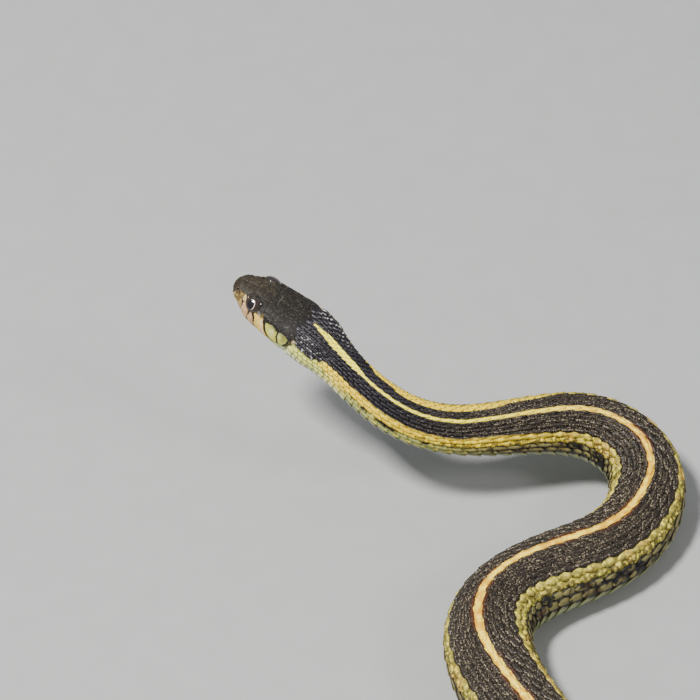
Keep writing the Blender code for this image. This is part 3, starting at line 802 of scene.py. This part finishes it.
def build_skin(material):
    """The whole skin: fine rings on the head, coarse ones on the body, and a point at each end."""
    distance, angle = head_grid()
    lift, colour, x, around = head_relief(distance, angle)
    lift, colour = mouth_and_nostrils(distance, angle, x, around, lift, colour)
    head = raised(distance, angle, lift - skin_depth(distance))
    head, colour = round_the_eyes(head, colour)
    rings = np.arange(HEAD_MESH_END + 1.0, TAIL_TIP - TAIL_ROUND, BODY_STEP)
    rings = np.append(rings, TAIL_TIP - np.array((3, 2, 1.2, 0.5, 0.1)))
    body_distance, body_angle = np.meshgrid(rings, angle[0, ::COLUMNS_JOINED], indexing="ij")
    body = raised(body_distance, body_angle, -skin_depth(body_distance))
    ends = plain_skin(np.array((0.0, TAIL_TIP)), np.zeros(2))
    points = np.concatenate([head.reshape(-1, 3), body.reshape(-1, 3), ends])
    number = np.arange(len(points))
    head_numbers = number[:distance.size].reshape(distance.shape)
    body_numbers = number[distance.size:-2].reshape(body_distance.shape)
    faces = pole_faces(number[-2], head_numbers[0]) + ring_faces(head_numbers[:-1], head_numbers[1:])
    faces += joining_faces(head_numbers[-1], body_numbers[0])
    faces += ring_faces(body_numbers[:-1], body_numbers[1:]) + pole_faces(number[-1], body_numbers[-1, ::-1])
    skin = new_piece("skin", points, faces, material)
    along = np.concatenate([distance.ravel(), body_distance.ravel(), (0.0, TAIL_TIP)])
    turned = np.concatenate([angle.ravel(), body_angle.ravel(), (0.0, 0.0)])
    lane = angle_lane(turned, along)
    give_vectors(skin, "body_place", lane, along, lane)
    give_vectors(skin, "scale_place", 0 * lane, 0.5, 0.3)
    tones = np.ones((len(points), 4))
    tones[:, :3] = paint(NAPE_COLOUR)[:3]
    tones[:distance.size, :3] = colour.reshape(-1, 3)
    tones[-2, :3] = colour[0, 0]
    layer = skin.data.color_attributes.new("shield_colour", "FLOAT_COLOR", "POINT")
    layer.data.foreach_set("color", tones.astype(np.float32).ravel())
    give_map(skin, skin_map(along, turned))
    return skin


def bumped(height, strength, depth):
    """A normal from a height of 0 to 1 that stands for so many millimetres."""
    values = {"Height": height, "Strength": strength, "Distance": depth * MM}
    return new_field(height.tree, "ShaderNodeBump", values, "Normal")


def three_numbers(tree, name):
    """The parts of a piece's own attribute of three numbers."""
    vector = new_field(tree, "ShaderNodeAttribute", {}, "Vector", attribute_name=name)
    return [Field(part) for part in new_field(tree, "ShaderNodeSeparateXYZ", {0: vector}).socket.node.outputs]


def garter_markings():
    """The markings as a node group that puts out a colour, by lane, distance and place on a scale.

    A pale stripe runs down the back on the vertebral row and part of the next one on each side,
    with a rusty line along its edges. Dark rows follow, with greyer flecks on the keels and edges,
    those on the keels partly painted highlight, painted highlights on the nape's rims and painted
    glints behind the head. Then comes the pale side stripe on the sixth and seventh rows, which starts
    behind the jaw. Below it are olive rows with black marks, and green ones with black slashes on the
    neck. The scales of the dark rows and of both stripes are darker towards their roots, as painted
    shade where each tucks under the one in front.
    with black marks, and green ones with black slashes on the neck.
    """
    tree = bpy.data.node_groups.new("garter_markings", "ShaderNodeTree")
    tree.interface.new_socket("Colour", in_out="OUTPUT", socket_type="NodeSocketColor")
    lane, distance, scale_lane = three_numbers(tree, "body_place")
    across, along, chance = three_numbers(tree, "scale_place")
    wave = speckle(tree, 3.2, detail=3.0) - 0.5
    fine = speckle(tree, 0.36, detail=3.0, roughness=0.65)
    slow = speckle(tree, 18.0)
    side, middle, off_keel = abs(lane), abs(scale_lane), abs(across)

    # The dark rows, with pale flecks on the keels and rims, those on the keels partly painted highlight,
    # a bluish nape, painted highlights on the nape's rims and painted glints behind the head.
    nape = distance.eased(75, 45)
    keel = off_keel.eased(0.2, 0.05) * along.eased(0.15, 0.4)
    rim = off_keel.eased(0.6, 0.85) | along.eased(0.8, 0.95)
    flecks_and_keel_highlight = fine.eased(0.51, 0.61) * ((keel | rim) * 0.8 + 0.2) * chance.eased(-0.5, 0.7)
    # Painted shade: the dark scales go near black towards their roots, where each tucks under the one in
    # front.
    dark = speckle(tree, 1.6).between("#0b0706", "#1f1711").towards("#030202", along.eased(0.45, 0.2))
    dark = dark.towards("#0c090d", nape).towards(nape.between("#9a8b70", "#4c454d"), flecks_and_keel_highlight)
    # Painted highlight: grey on the rims of the nape's bead scales.
    dark = dark.towards("#7c777a", rim * distance.eased(36, 24) * fine.eased(0.4, 0.58) * 0.6)
    # Painted glints: a few near-white spots on the scales' rims behind the head.
    painted_glints = rim * speckle(tree, 0.9).eased(0.54, 0.62) * distance.eased(34, 26)
    dark = dark.towards("#cfcec8", painted_glints * side.eased(2.6, 4.4))

    # The back stripe: straw on the neck and more orange on the body, with ochre along its edges.
    edge = side + wave * 0.4 + (speckle(tree, 1.2) - 0.5) * 0.3 + (along - 0.5) * 0.3 + chance * 0.1
    edge = edge - distance.eased(23, 28.5) * distance.eased(39.5, 34.5) * 0.6
    edge = edge + distance.eased(24.6, 18.4) - distance.eased(60, 110) * 0.08
    stripe = edge.eased(0.7, 0.6)
    on_body = distance.eased(60, 115)
    straw = on_body.between("#eedb20", "#ecc42a")
    straw = straw.towards(on_body.between("#fbf05a", "#ffe562"), fine.eased(0.35, 0.65))
    ochre = edge.eased(0.3, 0.6) * distance.eased(70, 110) * speckle(tree, 1.8).eased(0.44, 0.62) * 0.7
    orange = speckle(tree, 2.6, detail=4.0).eased(0.47, 0.58) * distance.eased(60, 110) * 0.8
    straw = straw.towards("#b67d20", ochre).towards("#cf9817", orange)
    # Painted shade: each scale of the stripe is darker towards its root, where it tucks under the one in
    # front.
    straw = straw.towards("#94702c", along.eased(0.35, 0.1) * 0.3)
    rust = edge.eased(1.5, 0.66) * speckle(tree, 9.0).eased(0.42, 0.6) * distance.eased(90, 110)
    colour = dark.towards("#472008", rust)

    # How far down the side a place lies, with a wavering edge, for the side stripe's two edges.
    band = side * 0.4 + middle * 0.6 + wave * 0.3
    lifted = distance.eased(100, 70) * distance.eased(33, 42) * 0.45
    right = lane.eased(-0.5, -1.5)
    upper = band + lifted - distance.eased(30, 26.5) * 1.6 - right * distance.eased(40, 33) * 2.4
    upper = upper + right * distance.eased(35, 51) * distance.eased(98, 70) * 1.3
    lower = band + lifted * distance.eased(80, 60)

    # The rows below the side stripe.
    olive = fine.between("#584f26", "#938a55").towards("#3f2c18", speckle(tree, 4.0).eased(0.5, 0.7))
    marks = (along + chance * 0.3 - slow * 1.2 + 0.6).eased(0.72, 0.42) | off_keel.eased(0.45, 0.8)
    marks = (marks | (speckle(tree, 2.2) + slow).eased(1.0, 1.14)) * distance.eased(52, 80)
    green = lower.eased(7.8, 8.6).between("#6e6522", "#92995a")
    green = green.towards("#c1b34e", speckle(tree, 1.2).eased(0.4, 0.7))
    slash = speckle(tree, 4.0).eased(0.51, 0.56) * distance.eased(29, 32) * distance.eased(72, 58)
    slash = slash * lower.eased(8.6, 8.3)
    olive = olive.towards(green, distance.eased(80, 55)).towards("#0e0a07", marks | slash)
    colour = colour.towards(olive, lower.eased(7.3, 7.6))

    # The side stripe: lime on the body, warm yellow with mossy blotches on the neck, cream in front.
    lime = speckle(tree, 1.6).eased(0.35, 0.65).between("#80762a", "#bbac52")
    lime = lime.towards("#c69a48", speckle(tree, 6.0).eased(0.5, 0.68) * 0.7)
    warm = lime.towards("#d8b61c", distance.eased(115, 60))
    warm = warm.towards("#f3e544", speckle(tree, 0.8).eased(0.5, 0.66) * 0.65)
    moss = speckle(tree, 1.0, detail=4.0).eased(0.45, 0.53) * band.eased(5.3, 6.6) * distance.eased(42, 64)
    cream = warm.towards("#3f3610", moss * 0.85).towards("#c9cc5c", distance.eased(31, 26))
    cream = cream.towards("#64541f", fine.eased(0.42, 0.3) * 0.75)
    # Painted shade: each scale of the side stripe is darker towards its root, where it tucks under the one in
    # front.
    cream = cream.towards("#574c1c", along.eased(0.4, 0.12) * 0.4)
    colour = colour.towards(cream, upper.eased(5.35, 5.55) * lower.eased(7.6, 7.3))

    # The pale scales under the jaw, the tan ones at its corner, and the back stripe over all.
    light = fine.between("#a8aa48", "#dedc82").towards("#d9bd49", distance.eased(30, 36))
    light = light.towards("#0b0806", slash)
    colour = colour.towards(light, distance.eased(40, 33) * lower.eased(7.2, 7.5))
    corner = distance.eased(20.9, 20.3) * lower.eased(6.0, 6.4) * lower.eased(7.6, 7.3)
    colour = colour.towards("#8b7a58", corner).towards(straw, stripe)
    feed(tree.nodes.new("NodeGroupOutput").inputs["Colour"], colour)
    return tree


MARKINGS = garter_markings()


def with_markings(tree):
    """The markings' colour, placed in a material."""
    return new_field(tree, "ShaderNodeGroup", {}, "Colour", node_tree=MARKINGS)


skin_finish, tree, shader = new_material("snake_skin", 0.6)
lane, distance, _ = three_numbers(tree, "body_place")
grain = speckle(tree, 0.4, detail=3.0, roughness=0.65)
mottle = speckle(tree, 1.3, detail=4.0, roughness=0.6).eased(0.45, 0.7)
rearward = distance.eased(5, 14)
shields = new_field(tree, "ShaderNodeAttribute", {}, "Color", attribute_name="shield_colour")
shields = shields.towards("#47412f", mottle * 0.35)
shields = shields.towards("#15120f", rearward * abs(lane).eased(9, 7) * 0.75)
shields = shields.towards("#7b7462", grain.eased(0.56, 0.66) * (rearward * 0.16 + 0.16))
shields = shields.towards("#120d0b", grain.eased(0.48, 0.34) * 0.5)
# Between the scales the skin takes the markings' colour, darkened as painted shade in the gaps.
shaded_gap_colour = with_markings(tree).towards("#120d0b", 0.72)
feed(shader["Base Color"], shields.towards(shaded_gap_colour, distance.eased(19, 22)))
feed(shader["Normal"], bumped(speckle(tree, 0.22), 0.4, 0.08))
shader["Specular IOR Level"].default_value = 0.25
skin = build_skin(skin_finish)
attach(skin, "root")
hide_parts(*[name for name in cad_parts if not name.startswith("eye")])

# The eyes: glass balls under a clear brille, as the taxidermist sets them in the model's sockets.
# The pupil is black and a little taller than wide, with a thin pale ring round it at the upper rear,
# or the lower rear on the right, and a dark brown iris outside.
EYE_RINGS = 40
EYE_COLUMNS = 64
PUPIL = (0.5, 0.64)


def build_eye(side, material):
    """A lens with its pole on its axis: a ball flattened along it, painted by the gaze."""
    centre, axis, basis = eye_place(side)
    gaze = turned_to(EYE_GAZE, side, basis)
    turns = np.linspace(0, np.pi, EYE_RINGS + 2)[1:-1]
    turn, around = np.meshgrid(turns, np.arange(EYE_COLUMNS) * 2 * np.pi / EYE_COLUMNS, indexing="ij")
    first_way = unit(np.cross(axis, basis[0]))
    second_way = np.cross(axis, first_way)
    across = np.cos(around)[..., None] * first_way + np.sin(around)[..., None] * second_way
    ball = np.cos(turn)[..., None] * axis + np.sin(turn)[..., None] * across
    ball = np.concatenate([ball.reshape(-1, 3), (axis, -axis)])
    points = centre + EYE_ACROSS * ball - (EYE_ACROSS - EYE_DEEP) * (ball @ axis)[:, None] * axis
    number = np.arange(turn.size).reshape(turn.shape)[:, ::-1]
    faces = pole_faces(turn.size, number[0]) + ring_faces(number[:-1], number[1:])
    faces += pole_faces(turn.size + 1, number[-1, ::-1])
    eye = new_piece("eyeball_left" if side > 0 else "eyeball_right", points, faces, material)
    rear = unit(basis[0] - (basis[0] @ gaze) * gaze)
    top = unit(basis[1] - (basis[1] @ gaze) * gaze - (basis[1] @ rear) * rear)
    give_vectors(eye, "eye_place", ball @ rear, side * (ball @ top), ball @ gaze)
    return eye


eye_finish, tree, shader = new_material("snake_eye", 0.12)
rearward, upward, forward = three_numbers(tree, "eye_place")
wide, tall = rearward / PUPIL[0], upward / PUPIL[1]
reach = (wide * wide + tall * tall).reckoned("SQRT")
ring = reach.eased(0.98, 1.03) * reach.eased(1.13, 1.08) * (rearward * 0.7 + upward * 0.6).eased(0, 0.2)
iris = speckle(tree, 0.16, detail=3.0).eased(0.35, 0.7).between("#130c0a", "#38251a")
iris = iris.towards("#f0d6c6", ring).towards("#050304", reach.eased(1.02, 0.97))
feed(shader["Base Color"], iris.towards("#0a0706", forward.eased(0.4, 0.15)))
shader["Coat Weight"].default_value = 1.0
shader["Coat Roughness"].default_value = 0.03
for side, node in ((1, "eye_left"), (-1, "eye_right")):
    eye = build_eye(side, eye_finish)
    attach(eye, "root")
    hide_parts(node)

# The scales: thin horny plates that overlap like roof tiles, each rooted in the skin at its front
# and free at its rear point. Those of the back are narrow with a fine keel, those of the flanks are
# broader and smoother, and those of the nape and throat are small, smooth and glossy.
SCALES_START = 15.5
SCALES_END = 763.0
# The pitch of the rings of scales at distances from the snout.
RING_PITCH = np.array((
    (0, 1.5), (30, 1.6), (45, 2.4), (60, 3.1), (80, 3.8), (110, 4), (540, 4), (600, 3.3), (700, 2.2),
    (767, 1.6)))
SCALE_LENGTH = 1.64
SCALE_WIDTH = 0.66
ROOT_SINK = 0.5
TIP_RISE = 0.12
CHANCE_SWAY = 0.05
CROWN = 0.12
KEEL = 0.16
KEEL_FOOT = 0.34
RIM_DROP = 0.28
# Rows over which the outline broadens, where the keels begin and the rows where they fade, and the
# rows and distances where the crown is flatter, each with how much is lost there.
BROAD_ROWS = (4, 8)
KEELS_BEGIN = (45, 95)
SMOOTH_ROWS = (6.5, 9)
KEEL_LOSS = 0.75
THROAT_ROWS = (9, 10.5)
THROAT_LOSS = 0.65
FLANK_ROWS = (3.5, 5.5)
FLANK_BEGIN = (60, 110)
FLANK_LOSS = 0.35
# How much higher the crown is where there is no keel.
PLAIN_CROWN = 0.1
# Across a scale: its two buried edges, its rims, the feet of the keel and the keel's top.
ACROSS = np.array((-1.0, -1.0, -KEEL_FOOT, 0.0, KEEL_FOOT, 1.0, 1.0))
ALONG = np.array((0.0, 0.2, 0.44, 0.66, 0.85, 1.0, 1.0))
NARROW_OUTLINE = np.array((0.52, 0.82, 1.0, 0.93, 0.64, 0.16, 0.14))
BROAD_OUTLINE = np.array((0.55, 0.88, 1.0, 1.0, 0.82, 0.34, 0.3))
# Where each row begins behind the head, from the vertebral row out, and how many rows a side the
# body has up to a distance.
ROW_STARTS = np.array((18.6, 18.4, 17.8, 17.0, 17.6, 18.4, 19.0, 19.6, 19.4, 18.9))
ROW_LIMITS = np.array((400, 585, 600, 620, 650, 690, 730, 800))
ROW_COUNTS = np.array((9, 8, 7, 6, 5, 4, 3, 2))
THROAT_STARTS = np.array((19.0, 17.6, 14.2, 13.8))
THROAT_ENDS = np.array((36.0, 33.0, 30.0, 28.0))
CHANCE_SEED = 11
# Room along the map for a scale or plate, and round it for half a scale and for a plate.
MAP_LENGTH = 0.003
SCALE_MAP = 0.0015
PLATE_MAP = 0.3


def ring_places():
    """Distances of the rings of scales: each step is the pitch where it starts."""
    places = [SCALES_START]
    while places[-1] < SCALES_END:
        places.append(places[-1] + np.interp(places[-1], *RING_PITCH.T))
    return np.array(places)


def per_item(values):
    """One value for each scale or plate, shaped to meet the grid of its points."""
    return values[:, None, None]


def side_scales(rings):
    """Roots of the back's and flanks' scales: distance, lane, lane's width, pitch and row."""
    root, row = np.meshgrid(rings[:-1], np.arange(-9, 10), indexing="ij")
    pitch = np.broadcast_to(np.diff(rings)[:, None], root.shape)
    root = root + np.where(row % 2 == 1, pitch / 2, 0)
    rows = ROW_COUNTS[np.searchsorted(ROW_LIMITS, root)]
    width = LAST_LANE / (rows + 0.5)
    kept = (np.abs(row) <= rows) & (root + 0.2 * pitch >= ROW_STARTS[np.abs(row)])
    return [values[kept] for values in (root, row * width, width, pitch, np.abs(row * width))]


def throat_scales(rings):
    """Roots of the throat's small scales, in four rows a side between the chin and the plates."""
    row, root = np.meshgrid(np.array((-4, -3, -2, -1, 1, 2, 3, 4)), rings[:-1], indexing="ij")
    pitch = np.broadcast_to(np.diff(rings), root.shape)
    root = root + np.where(np.abs(row) % 2 == 1, pitch / 2, 0)
    at = np.abs(row) - 1
    kept = (root >= THROAT_STARTS[at]) & (root < THROAT_ENDS[at])
    lane = np.sign(row) * (LAST_LANE + np.abs(row) - 0.5)
    return [values[kept] for values in (root, lane, np.full_like(root, 1.0), pitch, np.abs(lane))]


def lay_grids(name, root, distance, angle, lift, material):
    """Many grids of points as one mesh on the body, their rims turned down into the skin.

    A point's lift is less by the rims' drop at the sides and the rear, and less on the slim tail.
    """
    buried = np.zeros(lift.shape[1:])
    buried[:, (0, -1)] = 1
    buried[-1, :] = 1
    lift = (lift - RIM_DROP * buried) * per_item(slimness(root))
    points = raised(np.minimum(distance, TAIL_TIP - 0.4), angle, lift)
    number = np.arange(lift.size).reshape(lift.shape)
    faces = np.stack((number[:, :-1, :-1], number[:, :-1, 1:], number[:, 1:, 1:], number[:, 1:, :-1]), -1)
    return new_piece(name, points.reshape(-1, 3), faces.reshape(-1, 4).tolist(), material)


def give_patches(piece, root, angle, along, across):
    """A UV map of small patches: each one's place on the skin's map, plus its points' offsets."""
    middle = skin_map(root, angle)[:, None, None, :]
    patch = np.stack(np.broadcast_arrays(MAP_LENGTH * (along - 0.5), across), axis=-1)
    give_map(piece, np.clip(middle + patch, 0, 1))


def build_scales(name, root, lane, width, pitch, row, material, slot):
    """Many scales as one mesh, each a grid of seven by seven points laid on the body.

    Along a scale its height climbs from the sunk root to the raised tip, and across it the crown
    falls off as a square law to rims that turn down into the skin. The keel is a ridge down its
    middle. Its breadth follows an outline from narrow, for the back, to broad, for the flanks.
    """
    chance = np.random.default_rng(CHANCE_SEED).random(len(root))
    broad = soft_step(row, *BROAD_ROWS)[:, None]
    outline = (NARROW_OUTLINE + broad * (BROAD_OUTLINE - NARROW_OUTLINE))[:, :, None]
    keeled = soft_step(root, *KEELS_BEGIN) * (1 - KEEL_LOSS * soft_step(row, *SMOOTH_ROWS))
    u, v = ACROSS[None, None, :], ALONG[None, :, None]
    sway = CHANCE_SWAY * (per_item(chance) - 0.5)
    lanes = per_item(lane) + (u * outline * SCALE_WIDTH + sway) * per_item(width)
    distance = np.broadcast_to(per_item(root) + v * SCALE_LENGTH * per_item(pitch), lanes.shape)
    ridge = per_item(KEEL * keeled) * (1 - np.minimum(np.abs(u) / KEEL_FOOT, 1)) * soft_step(v, 0.05, 0.4)
    crown = (CROWN + PLAIN_CROWN * (1 - keeled)) * (1 - THROAT_LOSS * soft_step(row, *THROAT_ROWS))
    crown = crown * (1 - FLANK_LOSS * soft_step(row, *FLANK_ROWS) * soft_step(root, *FLANK_BEGIN))
    bead = per_item(crown) * (1 - u ** 2) * soft_step(v, 0, 0.4)
    lift = (TIP_RISE + sway + ROOT_SINK) * v ** 0.8 - ROOT_SINK + bead + ridge
    piece = lay_grids(name, root, distance, lane_angle(lanes, distance), lift, material)
    give_vectors(piece, "body_place", lanes, distance, per_item(lane))
    give_vectors(piece, "scale_place", u, v, per_item(chance))
    give_patches(piece, root, lane_angle(lane, root), v, SCALE_MAP * u * outline)
    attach(piece, "root")
    return piece


def marked_finish(name, roughness, shine, grain, strength, depth):
    """A horny material in the markings' colours, with its shine and a fine grain in its relief."""
    material, tree, shader = new_material(name, roughness)
    feed(shader["Base Color"], with_markings(tree))
    feed(shader["Normal"], bumped(speckle(tree, grain), strength, depth))
    shader["Specular IOR Level"].default_value = shine
    return material


scale_finish = marked_finish("horny_scales", 0.6, 0.3, 0.2, 0.3, 0.05)
nape_finish = marked_finish("nape_scales", 0.5, 0.25, 0.35, 0.2, 0.04)
throat_finish, tree, shader = new_material("throat_scales", 0.38)
_, along, _ = three_numbers(tree, "scale_place")
# Painted shade: each throat scale is darker towards its root, where it tucks under the one in front.
tone = speckle(tree, 0.8).between("#b3b676", "#dddfab").towards("#6b6c4c", along.eased(0.35, 0.1) * 0.5)
feed(shader["Base Color"], tone)
feed(shader["Normal"], bumped(speckle(tree, 0.35), 0.2, 0.04))

rings = ring_places()
everywhere = side_scales(rings)
for name, start, end, finish, slot in (
        ("nape_scales", 0, 34, nape_finish, "head_skin"), ("neck_scales", 34, 150, scale_finish, "body_skin"),
        ("body_scales_front", 150, 330, scale_finish, "body_skin"),
        ("body_scales_rear", 330, 585, scale_finish, "body_skin"),
        ("tail_scales", 585, 800, scale_finish, "body_skin")):
    within = (everywhere[0] >= start) & (everywhere[0] < end)
    build_scales(name, *[values[within] for values in everywhere], finish, slot)
build_scales("throat_scales", *throat_scales(rings), throat_finish, "throat_skin")

# The belly plates: one broad smooth plate for each ring of scales, which the snake pushes along
# with, each overlapping the next with its free rear edge. Under the tail they are in pairs. They
# are pale grey-green, with a black mark at each end.
PLATES_START = 26.0
PLATES_FULL = 40.0
PLATES_NARROW = 0.3
TAIL_PLATES_START = 583.0
# How far the paired plates reach past the belly's middle, in degrees, to overlap there.
PAIR_OVERLAP = 2.0
PLATE_COLUMNS = 36
PLATE_LENGTH = 1.22
PLATE_CORNER = 0.5
CORNER_SPAN = 0.14
PLATE_ALONG = np.array((0.0, 0.3, 0.6, 0.85, 1.0, 1.0))
PLATE_SINK = 0.42
PLATE_RISE = 0.06


def build_plates(name, root, pitch, first, last, material):
    """Many plates as one mesh: grids between two angles that climb from root to free rear edge.

    The rear edge is straight in the middle and rounds forward to both ends as a square law over the
    last of the breadth, and the ends turn down into the skin.
    """
    u, v = np.linspace(0, 1, PLATE_COLUMNS + 1)[None, None, :], PLATE_ALONG[None, :, None]
    rounding = 1 - PLATE_CORNER * np.clip(1 - np.minimum(u, 1 - u) / CORNER_SPAN, 0, 1) ** 2
    distance = per_item(root) + v * rounding * PLATE_LENGTH * per_item(pitch)
    angle = per_item(first) + u * per_item(last - first) + 0 * v
    lift = (PLATE_RISE + PLATE_SINK) * v - PLATE_SINK + 0 * distance
    piece = lay_grids(name, root, distance, angle, lift, material)
    chance = np.random.default_rng(CHANCE_SEED).random(len(root))
    from_flank = 180 - np.abs(angle - 180) - per_item(flank_angle(LAST_LANE, root))
    give_vectors(piece, "plate_place", from_flank, v, per_item(chance))
    give_vectors(piece, "body_place", 0, distance, 0)
    give_patches(piece, root, (first + last) / 2, v, PLATE_MAP * (u - 0.5))
    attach(piece, "root")
    return piece


plate_finish, tree, shader = new_material("belly_plates", 0.3)
from_flank, along, _ = three_numbers(tree, "plate_place")
tone = speckle(tree, 2.5, detail=3.0).between("#858a5e", "#a3a878")
tone = tone.towards("#b9bd8c", along.eased(0.7, 1) * 0.3).towards("#7d7648", from_flank.eased(14, 5) * 0.7)
blot = from_flank.eased(13, 8) * along.eased(0.72, 0.5) * three_numbers(tree, "body_place")[1].eased(60, 110)
feed(shader["Base Color"], tone.towards("#141210", blot))
feed(shader["Normal"], bumped(speckle(tree, 0.5), 0.15, 0.04))

roots, steps = rings[:-1], np.diff(rings)
brinks = lane_angle(LAST_LANE - 0.05, roots)
grown = PLATES_NARROW + (1 - PLATES_NARROW) * soft_step(roots, PLATES_START, PLATES_FULL)
reach = (180 - brinks) * grown
belly = (roots > PLATES_START) & (roots < TAIL_PLATES_START)
build_plates("belly_plates", roots[belly], steps[belly], 180 - reach[belly], 180 + reach[belly], plate_finish)
under_tail = roots >= TAIL_PLATES_START
roots, steps, brinks = [values[under_tail] for values in (roots, steps, brinks)]
inner = np.full_like(roots, 180.0)
build_plates("tail_plates_left", roots, steps, brinks, inner + PAIR_OVERLAP, plate_finish)
build_plates("tail_plates_right", roots - steps / 2, steps, inner - PAIR_OVERLAP, 360 - brinks, plate_finish)
